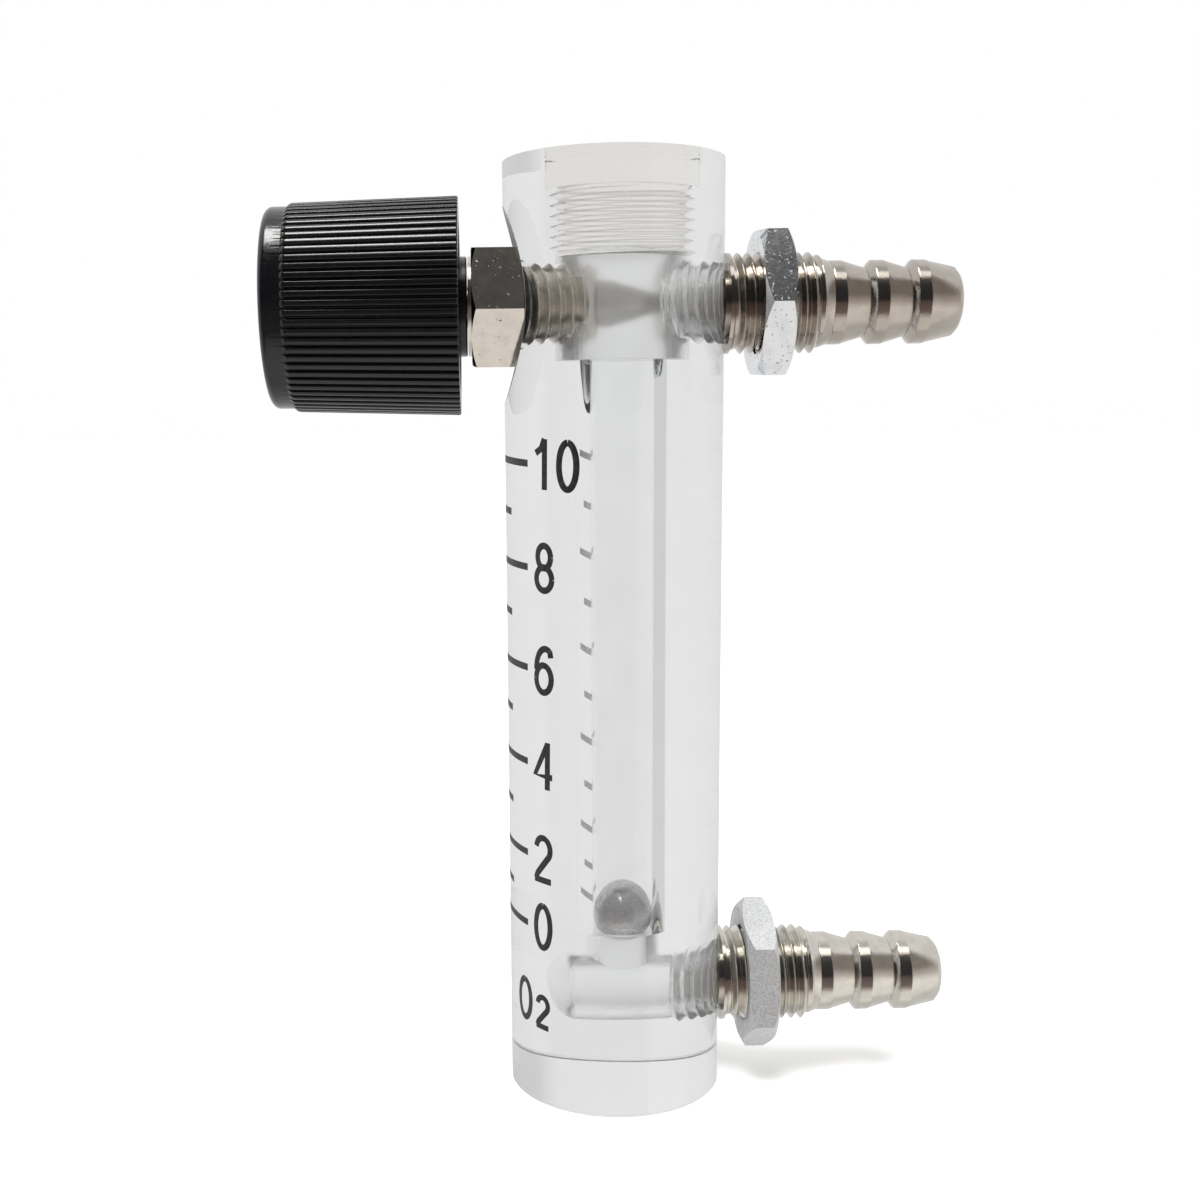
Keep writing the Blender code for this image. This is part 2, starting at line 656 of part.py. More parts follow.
def build_connector(name, height, parts, material):
    """A plated hose connector: barbed tail, panel thread, shoulder on the body, and a threaded stub with a valve seat."""
    stub = PORT_RADIUS - FIT_GAP
    stub_end = SHOULDER_X - STUB_LENGTH
    thread_end = SHOULDER_X + BARB_START - (PANEL_THREAD_RADIUS - BARB_RADIUS)
    profile = [
        (HOSE_BORE_RADIUS, SHOULDER_X + CONNECTOR_END),
        *barb_profile(),
        (PANEL_THREAD_RADIUS, thread_end),
        (PANEL_THREAD_RADIUS, SHOULDER_X),
        (stub, SHOULDER_X),
        (stub, stub_end),
        (SEAT_MOUTH_RADIUS, stub_end),
        (SEAT_BORE_RADIUS, stub_end + SEAT_DEPTH),
        (SEAT_BORE_RADIUS, SHOULDER_X),
        (HOSE_BORE_RADIUS, SHOULDER_X + (HOSE_BORE_RADIUS - SEAT_BORE_RADIUS)),
    ]
    connector = turned(name, profile, TURNED_STEPS, parts, material, ring=True)
    return lay_along_x(connector, height)


def build_lock_nut(name, height, stand_off, turn, parts, cutters, material):
    """A thin hexagon nut with both ends chamfered and a bore that clears the panel thread."""
    low = BODY_RADIUS + stand_off
    high = low + NUT_THICKNESS
    hole = PANEL_THREAD_RADIUS + FIT_GAP
    profile = [
        (hole + NUT_BORE_LEAD, high),
        *hexagon_ends(low, high, NUT_ACROSS_FLATS),
        (hole + NUT_BORE_LEAD, low),
        (hole, low + NUT_BORE_LEAD),
        (hole, high - NUT_BORE_LEAD),
    ]
    nut = hexagon(name, NUT_ACROSS_FLATS, low - OVERCUT, high + OVERCUT, turn, parts, material)
    form = turned(f"{name}_turning_form", profile, TURNED_STEPS, cutters, ring=True)
    boolean(nut, make_cutter(form), "INTERSECT")
    lay_along_x(form, height)
    return lay_along_x(nut, height)


def main():
    clear_scene()
    parts = make_collection("oxygen_flowmeter")
    cutters = make_collection("cutters")

    acrylic = make_material("clear_acrylic", (0.93, 0.94, 0.94), 0.03, transmission=1.0)
    plug_acrylic = make_material("plug_acrylic", (0.90, 0.89, 0.87), 0.08, transmission=1.0)
    steel_ball = make_material("polished_steel", (0.62, 0.62, 0.62), 0.12, metallic=1.0)
    nickel = make_material("nickel_plate", (0.66, 0.63, 0.58), 0.22, metallic=1.0)
    zinc = make_material("zinc_plate", (0.70, 0.71, 0.72), 0.42, metallic=1.0)
    stainless = make_material("stainless_steel", (0.56, 0.55, 0.53), 0.30, metallic=1.0)
    black_plastic = make_material("black_plastic", (0.012, 0.012, 0.014), 0.38)
    cap_plastic = make_material("cap_plastic", (0.016, 0.016, 0.018), 0.30)
    rubber = make_material("black_rubber", (0.010, 0.010, 0.010), 0.60)

    build_body(parts, cutters, acrylic)
    build_top_plug(parts, plug_acrylic)
    build_float(parts, steel_ball)
    build_bonnet(parts, cutters, nickel)
    build_bonnet_seal(parts, rubber)
    build_stem(parts, cutters, stainless)
    build_stem_seal(parts, rubber)
    build_knob(parts, cutters, black_plastic)
    build_knob_cap(parts, cap_plastic)
    build_knob_screw(parts, cutters, zinc)
    ports = (
        ("outlet", VALVE_HEIGHT, OUTLET_NUT_STAND_OFF, OUTLET_NUT_TURN),
        ("inlet", INLET_HEIGHT, INLET_NUT_STAND_OFF, INLET_NUT_TURN),
    )
    for port, height, stand_off, turn in ports:
        build_connector(f"{port}_connector", height, parts, nickel)
        build_lock_nut(f"{port}_lock_nut", height, stand_off, turn, parts, cutters, zinc)


main()
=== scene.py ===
"""The looks of the oxygen flowmeter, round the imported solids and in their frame. Metres, +Z up."""

import math

import bmesh
import bpy
from mathutils import Matrix, Vector


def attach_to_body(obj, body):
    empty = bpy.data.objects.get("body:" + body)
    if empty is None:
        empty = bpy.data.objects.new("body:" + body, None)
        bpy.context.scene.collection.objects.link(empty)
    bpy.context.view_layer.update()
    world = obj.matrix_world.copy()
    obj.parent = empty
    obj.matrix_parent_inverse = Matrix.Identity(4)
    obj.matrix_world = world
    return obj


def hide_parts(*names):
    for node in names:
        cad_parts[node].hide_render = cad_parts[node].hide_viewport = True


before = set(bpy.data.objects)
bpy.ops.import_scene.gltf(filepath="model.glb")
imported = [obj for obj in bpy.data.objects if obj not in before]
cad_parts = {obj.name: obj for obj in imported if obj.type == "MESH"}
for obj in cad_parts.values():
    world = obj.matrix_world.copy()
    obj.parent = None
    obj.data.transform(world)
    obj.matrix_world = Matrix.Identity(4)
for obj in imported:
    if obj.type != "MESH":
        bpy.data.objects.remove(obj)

MM = 0.001
TAU = 2 * math.pi

# Camera: the photograph's own, fitted to the body's outline and axes, for a square picture of 1200 pixels
CAMERA_PLACE = (-13.33, -155.16, 70.14)
CAMERA_YAW = math.radians(0.528)
CAMERA_PITCH = math.radians(8.621)
CAMERA_ROLL = math.radians(-0.712)
PICTURE = 1200.0
FOCAL_PIXELS = 1515.6
PRINCIPAL_POINT = (498.8, 647.6)
SENSOR = 36.0

# The studio that metal shows, in front, at the side and behind: (sine of the height, colour)
BACKDROP = 0.84
ROOM_FRONT = (
    (-1.0, (0.95, 0.93, 0.90)),
    (-0.74, (0.92, 0.89, 0.85)),
    (-0.52, (0.24, 0.19, 0.18)),
    (-0.05, (0.14, 0.105, 0.10)),
    (0.02, (0.035, 0.035, 0.037)),
    (0.64, (0.05, 0.05, 0.052)),
    (0.87, (0.10, 0.10, 0.10)),
    (0.91, (1.75, 1.71, 1.65)),
    (0.985, (1.75, 1.71, 1.65)),
    (1.0, (1.00, 0.99, 0.97)),
)
ROOM_SIDE = (
    (-1.0, (0.95, 0.93, 0.90)),
    (-0.3, (1.10, 1.08, 1.05)),
    (0.0, (0.62, 0.58, 0.55)),
    (0.3, (0.30, 0.27, 0.25)),
    (0.85, (0.30, 0.27, 0.25)),
    (0.92, (1.75, 1.71, 1.65)),
)
ROOM_BACK = (
    (-1.0, (0.70, 0.70, 0.69)),
    (-0.3, (BACKDROP, BACKDROP, BACKDROP)),
    (0.25, (BACKDROP, BACKDROP, BACKDROP)),
    (0.85, (0.92, 0.92, 0.92)),
    (0.99, (0.60, 0.60, 0.60)),
)
# What the acrylic shows on every side, so that it looks clear from behind too
ROOM_CLEAR = (
    (-1.0, (0.66, 0.66, 0.65)),
    (-0.3, (BACKDROP, BACKDROP, BACKDROP)),
    (0.25, (BACKDROP, BACKDROP, BACKDROP)),
    (0.80, (0.88, 0.88, 0.88)),
    (0.99, (0.62, 0.62, 0.62)),
)
# What is left of the dim room in front in the acrylic's inner reflections
INNER_ROOM = 0.58
# A grey screen on the right, which only the acrylic's inner reflections show
SCREEN = (0.76, 0.76, 0.77)
# A small bright lamp overhead, which only reflections outside the acrylic show: its colour and soft edges
LAMP_COLOUR = (15.0, 14.8, 14.4)
LAMP_ACROSS = ((-0.38, -0.32), (-0.07, -0.01))
LAMP_ALONG = ((-0.26, -0.20), (0.11, 0.17))
LAMP_HEIGHT = (0.5, 0.6)
# The lamps that light the object: (name, place, width and height, power, seen through the acrylic)
LAMPS = (
    ("key", (-0.12, -0.30, 0.62), (0.22, 0.22), 3.0, False),
    ("glint", (-0.10, -0.28, 0.50), (0.05, 0.05), 0.06, True),
    ("fill", (0.25, -0.12, 0.60), (0.20, 0.20), 1.5, False),
)
LAMP_TARGET = (0.0, 0.0, 0.05)
# The floor in metres: its radius, its drop under the foot, and where glass and metal start to look past it
FLOOR_RADIUS = 6.0
FLOOR_DROP = 0.00005
FLOOR_SEEN = (0.0108, 0.0112)
# Its glow to the camera, and over what radii it rises
FLOOR_GLOW = (0.34, 0.62)
FLOOR_FADE = (0.06, 0.45)

# Sizes in millimetres, nearly all of them the solids' own; the foot's chamfer is smaller here
BODY_RADIUS = 11.0
BODY_HEIGHT = 95.0
BODY_CHAMFER = 0.20
INLET_Z = 11.15
VALVE_Z = 81.15
TUBE_X = 0.6
TUBE_LOW_RADIUS = 3.18
TUBE_HIGH_RADIUS = 3.27
FLOAT_RADIUS = 3.1
FLOAT_Z = 19.183
RISER_RADIUS = 2.5
SEAT_Z = 17.25
CHAMBER_RADIUS = 4.5
CHAMBER_FLOOR_Z = 75.65
PLUG_HEAD_RADIUS = 5.25
PLUG_HEAD_HEIGHT = 2.9
PLUG_LENGTH = 9.4
PLUG_TIP_GAP = 0.1
STUB_END_X = 4.5
SEAT_MOUTH_RADIUS = 1.45
SEAT_BORE_RADIUS = 0.95
SEAT_DEPTH = 0.7
INLET_PORT_FLOOR_X = 4.1
INLET_HOLE_RADIUS = 3.5
INLET_HOLE_END_X = -3.0
DRILL_HALF_ANGLE = math.radians(67.5)
DOME_STEPS = 10
SPOT_FACE_X = -8.8
SPOT_FACE_RADIUS = 5.9
COUNTERSINK_HALF_ANGLE = math.radians(60)
SEAL_OUTER_RADIUS = 4.35
SEAL_GAP = 0.1
SEAL_RECESS_DEPTH = 1.9
BONNET_NECK_LENGTH = 1.84
BONNET_NECK_RADIUS = 3.05
HEX_FACE_X = -9.1
HEX_END_X = -14.2
BONNET_END_X = -14.55
BONNET_NOSE_X = -1.9
BONNET_ACROSS_FLATS = 11.5
BONNET_HEX_TURN = math.radians(5.8)
BONNET_RING_RADIUS = 4.9
BONNET_BORE_RADIUS = 2.55
NEEDLE_TIP_X = 5.5
NEEDLE_TIP_RADIUS = 0.55
NEEDLE_HALF_ANGLE = math.radians(15.5)
STEM_RADIUS = 2.25
GROOVE_RADIUS = 1.4
GROOVE_START_X = -3.3
GROOVE_END_X = -4.6
SHAFT_RADIUS = 2.0
SHAFT_SHOULDER_X = -14.25
SHAFT_END_X = -30.65
KNOB_HUB_RADIUS = 4.9
KNOB_REAR_X = -15.4
KNOB_FRONT_X = -34.3
KNOB_INNER_X = -31.0
KNOB_REAR_RADIUS = 10.7
KNOB_FRONT_RADIUS = 10.2
KNOB_BAND_RADIUS = 9.85
KNOB_BAND_LENGTH = 2.15
KNOB_WALL = 1.9
KNOB_ROUNDING = 0.8
KNOB_EDGE = 0.12
# The knob's hub, screw hole and cap recess, from the hub's rear end to the front face: (length, radius)
KNOB_HUB_PATH = (
    (-14.75, KNOB_HUB_RADIUS), (-14.65, KNOB_HUB_RADIUS - 0.1), (-14.65, 2.3), (-30.9, 2.3), (-30.9, 1.25),
    (-31.95, 1.25), (-31.95, 2.2), (-33.15, 2.2), (-33.15, 7.32), (KNOB_FRONT_X, 7.32),
)
RIB_DEPTH = 0.38
RIB_EDGE_DEPTH = 0.30
RIB_FADE = 0.6
RIB_COUNT = 72
# One rib and its groove: (share of the pitch, share of the groove's depth)
RIB_SHAPE = (
    (0.0, 0.0), (0.25, 0.0), (0.45, 0.0), (0.50, 0.06), (0.54, 0.24), (0.60, 0.76),
    (0.65, 0.97), (0.725, 1.0), (0.80, 0.97), (0.85, 0.76), (0.91, 0.24), (0.95, 0.06),
)
SHOULDER_X = 11.1
# The hose tail: (radius, distance) from the nose's end, from a barb's foot and from a barb's start
TAIL_LENGTH = 23.35
TAIL_BORE_RADIUS = 2.25
TAIL_NOSE = ((2.55, 0.0), (2.9, -0.15), (3.4, -0.6))
BARB_START = 10.3
BARB_PITCH = 4.15
BARB_FOOT = ((3.4, -0.5), (3.46, -0.75))
BARB_CREST = ((3.99, 1.6), (4.09, 1.33), (4.12, 1.2), (4.12, 1.1), (4.12, 0.2), (4.12, 0.08), (4.06, 0.0))
PANEL_THREAD_RUNOUT = 0.83
NUT_ACROSS_FLATS = 14.0
NUT_THICKNESS = 3.15
NUT_MOUTH_RADIUS = 5.6
NUT_THREAD_INSET = 0.25
OUTLET_NUT_X = 14.05
INLET_NUT_X = 13.4
OUTLET_NUT_TURN = math.radians(2.5)
INLET_NUT_TURN = math.radians(24)

# Threads: crest and root radius outside, and the same grown by the gap inside
THREAD_GAP = 0.04
PORT_MOUTH_GAP = 0.1
M8_CREST, M8_ROOT = 3.94, 3.40
M10_CREST, M10_ROOT = 4.94, 4.38
THREAD_PITCH = 1.0

# The nuts slide without turning, so their threads run just clear of the panel threads
NUT_THREAD_GAP = 0.03
NUT_THREAD_DEPTH = 0.35

# Refractive index of acrylic in air, and of acrylic against the cement or grease that fills a closed thread
ACRYLIC_INDEX = 1.49
PLUG_FILM_INDEX = 1.035
VALVE_FILM_INDEX = 1.05

# One turn of a thread: (share of the pitch, share of the depth)
THREAD_FLANK = ((0.0, 1.0), (0.03, 0.98), (0.07, 0.90), (0.43, 0.10), (0.47, 0.02))
THREAD_RISE = tuple((1 - phase, share) for phase, share in THREAD_FLANK[:0:-1])
THREAD_SHAPE = THREAD_FLANK + ((0.5, 0.0),) + THREAD_RISE

# How far the cutting forms run past the body
OVERRUN = 1.0


# Mesh building


def to_object(name, shape):
    """Turns a finished bmesh into a linked object with a mesh of the same name."""
    mesh = bpy.data.meshes.new(name)
    shape.to_mesh(mesh)
    shape.free()
    item = bpy.data.objects.new(name, mesh)
    bpy.context.scene.collection.objects.link(item)
    return item


def place_on_axis(axis, radius, angle, length, offset):
    """A point in metres at a radius and angle round an axis along X or Z, offset in the other two."""
    if axis == "X":
        return (
            length * MM,
            (radius * math.cos(angle) + offset[0]) * MM,
            (radius * math.sin(angle) + offset[1]) * MM,
        )
    return (
        (radius * math.cos(angle) + offset[0]) * MM,
        (radius * math.sin(angle) + offset[1]) * MM,
        length * MM,
    )


def thread_rows(start, end, root, crest, lead_start, lead_end, turn):
    """One column of a helical thread, which fades out over its leads; turn is the share of a full turn."""
    low, high = min(start, end), max(start, end)
    low_lead, high_lead = (lead_start, lead_end) if start < end else (lead_end, lead_start)
    rows = []
    for count in range(math.floor(low / THREAD_PITCH) - 2, math.ceil(high / THREAD_PITCH) + 2):
        for phase, share in THREAD_SHAPE:
            length = THREAD_PITCH * (count + phase + turn)
            clamped = min(max(length, low), high)
            fade = 1.0
            if low_lead:
                fade = min(fade, (clamped - low) / low_lead)
            if high_lead:
                fade = min(fade, (high - clamped) / high_lead)
            rows.append((root + (crest - root) * share * fade, clamped))
    return rows if start < end else rows[::-1]


def turned(name, path, axis="X", offset=(0.0, 0.0), sides=96, closed=False):
    """A turned piece from (radius, length) points and runs of thread, as thread_rows takes them."""
    columns = []
    for step in range(sides + 1):
        turn = step / sides
        column = []
        for item in path:
            if item[0] == "thread":
                column += thread_rows(*item[1:], turn)
            else:
                column.append(item)
        columns.append([place_on_axis(axis, r, TAU * turn, s, offset) for r, s in column])
    shape = bmesh.new()
    grid = [[shape.verts.new(point) for point in column] for column in columns]
    rows = len(grid[0])
    last = rows if closed else rows - 1
    for left, right in zip(grid, grid[1:]):
        for i in range(last):
            j = (i + 1) % rows
            shape.faces.new((left[i], right[i], right[j], left[j]))
    bmesh.ops.remove_doubles(shape, verts=shape.verts, dist=2e-8)
    bmesh.ops.dissolve_degenerate(shape, dist=1e-9, edges=shape.edges)
    bmesh.ops.recalc_face_normals(shape, faces=shape.faces)
    return to_object(name, shape)


def shade(item, degrees=35.0):
    """Smooth shading with sharp edges above an angle."""
    item.data.shade_smooth()
    item.data.set_sharp_from_angle(angle=math.radians(degrees))


def cut(item, other, operation="DIFFERENCE"):
    """Applies a Boolean and removes the other object."""
    modifier = item.modifiers.new("cut", "BOOLEAN")
    modifier.operation = operation
    modifier.solver = "MANIFOLD"
    modifier.object = other
    bpy.context.view_layer.update()
    graph = bpy.context.evaluated_depsgraph_get()
    mesh = bpy.data.meshes.new_from_object(item.evaluated_get(graph))
    item.modifiers.clear()
    old = item.data
    name = old.name
    item.data = mesh
    bpy.data.meshes.remove(old)
    mesh.name = name
    bpy.data.objects.remove(other, do_unlink=True)


# Body


def build_body():
    """The acrylic rod with its bores, and a finish for each wall in the order of WALLS."""
    profile = [
        (0.0, BODY_HEIGHT),
        (BODY_RADIUS, BODY_HEIGHT),
        (BODY_RADIUS, BODY_CHAMFER),
        (BODY_RADIUS - BODY_CHAMFER, 0.0),
        (0.0, 0.0),
    ]
    body = turned("acrylic_body", profile, "Z", sides=192)
    cut(body, tube_form())
    cut(body, valve_axis_form())
    cut(body, inlet_form())
    mesh = body.data
    mesh.materials.clear()
    mesh.materials.append(acrylic("acrylic_polished", 0.0, 0.0))
    # Painted shade: the ends' tint is darker, so the foot and the top look shaded
    mesh.materials.append(acrylic("acrylic_ends", 0.10, 0.05, tone=0.94))
    # Painted light: the tube wall's tint is paler, which offsets the light lost through its extra surfaces
    mesh.materials.append(acrylic("acrylic_bored", 0.0, 0.04, tone=1.04))
    mesh.materials.append(acrylic("acrylic_drilled", 0.30, 0.25, milk=0.14))
    mesh.materials.append(acrylic("acrylic_valve_thread", 0.06, 0.10, VALVE_FILM_INDEX))
    mesh.materials.append(acrylic("acrylic_plug_thread", 0.03, 0.05, PLUG_FILM_INDEX, thread=True))
    mesh.materials.append(acrylic("acrylic_rim", 0.45, 0.10))
    shade(body, 30)
    dress_body(mesh)
    return body


def tube_form():
    """The stepped hole from the top: head recess, plug thread, valve chamber, tapered tube and riser."""
    top = BODY_HEIGHT + OVERRUN
    head_floor = BODY_HEIGHT - PLUG_HEAD_HEIGHT - THREAD_GAP
    thread_end = BODY_HEIGHT - PLUG_LENGTH - PLUG_TIP_GAP
    head = PLUG_HEAD_RADIUS + THREAD_GAP
    root, crest = M10_ROOT + THREAD_GAP, M10_CREST + THREAD_GAP
    path = [
        (0.0, top),
        (head, top),
        (head, head_floor),
        (root, head_floor),
        ("thread", head_floor, thread_end, root, crest, 0.4, 0.3),
        (CHAMBER_RADIUS, thread_end),
        (CHAMBER_RADIUS, CHAMBER_FLOOR_Z),
        (TUBE_HIGH_RADIUS, CHAMBER_FLOOR_Z),
        (TUBE_LOW_RADIUS, SEAT_Z),
        (RISER_RADIUS, SEAT_Z),
        (RISER_RADIUS, INLET_Z),
        (0.0, INLET_Z),
    ]
    return turned("tube_form", path, "Z", (TUBE_X, 0.0))


def threaded_port(inner_end):
    """A port's threaded hole, from outside the body's right-hand side to where its thread ends."""
    root, crest = M8_ROOT + THREAD_GAP, M8_CREST + THREAD_GAP
    return [
        (0.0, BODY_RADIUS + OVERRUN),
        (crest + PORT_MOUTH_GAP, BODY_RADIUS + OVERRUN),
        (crest + PORT_MOUTH_GAP, BODY_RADIUS + 0.05),
        ("thread", BODY_RADIUS, inner_end, root, crest, 0.3, 0.3),
    ]


def valve_axis_form():
    """The threaded cross hole from the outlet port to the seal recess and the countersunk face."""
    seal_radius = SEAL_OUTER_RADIUS + SEAL_GAP
    seal_floor = HEX_FACE_X + SEAL_RECESS_DEPTH
    start = -BODY_RADIUS - OVERRUN
    wide = SPOT_FACE_RADIUS + (SPOT_FACE_X - start) * math.tan(COUNTERSINK_HALF_ANGLE)
    path = [
        *threaded_port(seal_floor),
        (seal_radius, seal_floor),
        (seal_radius, SPOT_FACE_X),
        (SPOT_FACE_RADIUS, SPOT_FACE_X),
        (wide, start),
        (0.0, start),
    ]
    return turned("valve_axis_form", path, "X", (0.0, VALVE_Z))


def inlet_form():
    """The inlet port and its cross hole, with a domed end as deep as the drill's point."""
    dome = INLET_HOLE_RADIUS / math.tan(DRILL_HALF_ANGLE)
    path = [
        *threaded_port(INLET_PORT_FLOOR_X),
        (INLET_HOLE_RADIUS, INLET_PORT_FLOOR_X - 0.2),
    ]
    for step in range(DOME_STEPS + 1):
        angle = math.pi / 2 * step / DOME_STEPS
        path.append((INLET_HOLE_RADIUS * math.cos(angle), INLET_HOLE_END_X - dome * math.sin(angle)))
    return turned("inlet_form", path, "X", (0.0, INLET_Z))


WALLS = ("outside", "end", "tube", "hole", "valve_thread", "plug_thread", "rim")


def dress_body(mesh):
    """Exact normals on the turned walls, and each face's finish."""
    normals = [Vector(corner.vector) for corner in mesh.corner_normals]
    slope = (TUBE_HIGH_RADIUS - TUBE_LOW_RADIUS) / (CHAMBER_FLOOR_Z - SEAT_Z)
    for polygon in mesh.polygons:
        points = [mesh.vertices[i].co / MM for i in polygon.vertices]
        wall = wall_of(points, polygon.normal)
        polygon.material_index = WALLS.index(wall)
        for loop in polygon.loop_indices:
            place = mesh.vertices[mesh.loops[loop].vertex_index].co / MM
            if wall == "outside":
                normals[loop] = Vector((place.x, place.y, 0.0)).normalized()
            elif wall == "tube":
                normals[loop] = Vector((TUBE_X - place.x, -place.y, slope)).normalized()
            elif wall in ("end", "rim"):
                normals[loop] = polygon.normal.copy()
    mesh.normals_split_custom_set([tuple(n) for n in normals])


def wall_of(points, normal):
    """Which of the body's walls a face lies on."""
    upright = abs(normal.z) < 0.1
    low = all(p.z < BODY_CHAMFER + 0.001 for p in points)
    if upright and all(abs(math.hypot(p.x, p.y) - BODY_RADIUS) < 0.01 for p in points):
        return "outside"
    if low and abs(normal.z) < 0.95:
        return "rim"
    if low or all(p.z > BODY_HEIGHT - 0.001 for p in points):
        return "end"
    spans = [math.hypot(p.x - TUBE_X, p.y) for p in points]
    if all(p.z > BODY_HEIGHT - PLUG_LENGTH and s < PLUG_HEAD_RADIUS + 0.1 for p, s in zip(points, spans)):
        return "plug_thread"
    reach = SEAL_OUTER_RADIUS + 0.15
    if all(p.x < BONNET_NOSE_X and math.hypot(p.y, p.z - VALVE_Z) < reach for p in points):
        if all(p.x > SPOT_FACE_X - 0.01 for p in points) and any(s > CHAMBER_RADIUS + 0.01 for s in spans):
            return "valve_thread"
    if upright:
        if all(TUBE_LOW_RADIUS - 0.02 < s < TUBE_HIGH_RADIUS + 0.02 for s in spans):
            if all(SEAT_Z - 0.01 < p.z < CHAMBER_FLOOR_Z + 0.01 for p in points):
                return "tube"
    return "hole"


def build_plug():
    """The screw plug, with cement in its thread and a finish of its own on its flat ends."""
    head_floor = BODY_HEIGHT - PLUG_HEAD_HEIGHT
    tip = BODY_HEIGHT - PLUG_LENGTH
    path = [
        (0.0, BODY_HEIGHT),
        (PLUG_HEAD_RADIUS - 0.1, BODY_HEIGHT),
        (PLUG_HEAD_RADIUS, BODY_HEIGHT - 0.1),
        (PLUG_HEAD_RADIUS, head_floor),
        (M10_ROOT, head_floor),
        ("thread", head_floor, tip + 0.3, M10_ROOT, M10_CREST, 0.4, 0.6),
        (M10_ROOT - 0.3, tip),
        (0.0, tip),
    ]
    plug = turned("acrylic_plug", path, "Z", (TUBE_X, 0.0))
    shade(plug)
    plug.data.materials.append(acrylic("acrylic_plug", 0.03, 0.05, PLUG_FILM_INDEX, thread=True))
    plug.data.materials.append(acrylic("acrylic_plug_face", 0.10, 0.1))
    for polygon in plug.data.polygons:
        if abs(polygon.normal.z) > 0.9 and abs(polygon.center.z / MM - head_floor) > 0.01:
            polygon.material_index = 1
    return plug


# Metal pieces


def hexagon(name, across_flats, low, high, turn, height):
    """A hexagonal bar along X, with a corner turned from its -Y side."""
    shape = bmesh.new()
    corner = across_flats / math.sqrt(3)
    ends = []
    for length in (low, high):
        ring = []
        for index in range(6):
            angle = math.pi + turn + TAU * index / 6
            point = (length * MM, corner * math.cos(angle) * MM, (height + corner * math.sin(angle)) * MM)
            ring.append(shape.verts.new(point))
        ends.append(ring)
    for index in range(6):
        after = (index + 1) % 6
        shape.faces.new((ends[0][index], ends[0][after], ends[1][after], ends[1][index]))
    shape.faces.new(ends[0])
    shape.faces.new(ends[1])
    bmesh.ops.recalc_face_normals(shape, faces=shape.faces)
    return to_object(name, shape)


def hexagon_ends(low, high, across_flats, angle=math.radians(27)):
    """The chamfered corners of a hexagon between two lengths, as a turned outline."""
    flat = across_flats / 2
    outer = across_flats / math.sqrt(3) + OVERRUN
    drop = (outer - flat) * math.tan(angle)
    return [(flat, high), (outer, high - drop), (outer, low + drop), (flat, low)]


def build_bonnet():
    """The valve bonnet: hexagon, neck for the seal ring, and threaded stub."""
    stub_start = HEX_FACE_X + BONNET_NECK_LENGTH
    hexagon_path = hexagon_ends(HEX_END_X, HEX_FACE_X, BONNET_ACROSS_FLATS)
    path = [
        (BONNET_BORE_RADIUS, BONNET_NOSE_X),
        (M8_ROOT - 0.2, BONNET_NOSE_X),
        ("thread", BONNET_NOSE_X - 0.2, stub_start, M8_ROOT, M8_CREST, 0.6, 0.3),
        (BONNET_NECK_RADIUS, stub_start),
        (BONNET_NECK_RADIUS, HEX_FACE_X),
        (BONNET_ACROSS_FLATS, HEX_FACE_X),
        *hexagon_path[2:],
        (BONNET_RING_RADIUS, HEX_END_X),
        (BONNET_RING_RADIUS, BONNET_END_X),
        (BONNET_BORE_RADIUS, BONNET_END_X),
    ]
    form = turned("bonnet_form", path, "X", (0.0, VALVE_Z), closed=True)
    low, high = BONNET_END_X - OVERRUN, BONNET_NOSE_X + OVERRUN
    bonnet = hexagon("bonnet", BONNET_ACROSS_FLATS, low, high, BONNET_HEX_TURN, VALVE_Z)
    cut(bonnet, form, "INTERSECT")
    shade(bonnet, 30)
    finish(bonnet, plated("bonnet_nickel", (0.69, 0.645, 0.585), 0.12, 0.05, 0.12, specks=(2.6, 0.69)))
    # Painted light: the stub's thread inside the acrylic gets a paler copy of the nickel
    bonnet.data.materials.append(plated("bonnet_thread_nickel", (0.84, 0.785, 0.705), 0.34, 0.10))
    for polygon in bonnet.data.polygons:
        if polygon.center.x / MM > stub_start - 0.04:
            polygon.material_index = 1
    return bonnet


def barb_path(end):
    """The hose tail's outside from its nose back to the panel thread."""
    points = [(radius, end + reach) for radius, reach in TAIL_NOSE]
    for index in (2, 1, 0):
        start = SHOULDER_X + BARB_START + BARB_PITCH * index
        if index < 2:
            points += [(radius, start + BARB_PITCH + reach) for radius, reach in BARB_FOOT]
        points += [(radius, start + reach) for radius, reach in BARB_CREST]
    return points


def build_connector(name, height):
    """A hose connector: barbs, panel thread, shoulder, stub thread and the seat in the stub's end."""
    end = SHOULDER_X + TAIL_LENGTH
    thread_end = SHOULDER_X + BARB_START - PANEL_THREAD_RUNOUT
    path = [
        (TAIL_BORE_RADIUS, end - 0.15),
        (TAIL_BORE_RADIUS + 0.15, end),
        *barb_path(end),
        ("thread", thread_end, SHOULDER_X + 0.5, M10_ROOT, M10_CREST, 0.6, 0.6),
        (M10_CREST, SHOULDER_X + 0.35),
        (M10_CREST, SHOULDER_X),
        (M8_ROOT, SHOULDER_X),
        ("thread", SHOULDER_X - 0.3, STUB_END_X + 0.2, M8_ROOT, M8_CREST, 0.4, 0.5),
        (M8_ROOT - 0.25, STUB_END_X),
        (SEAT_MOUTH_RADIUS + 0.05, STUB_END_X),
        (SEAT_MOUTH_RADIUS, STUB_END_X + 0.05),
        (SEAT_BORE_RADIUS, STUB_END_X + SEAT_DEPTH),
        (SEAT_BORE_RADIUS, SHOULDER_X),
        (TAIL_BORE_RADIUS, SHOULDER_X + 1.3),
    ]
    connector = turned(name, path, "X", (0.0, height), closed=True)
    shade(connector, 45)
    return connector


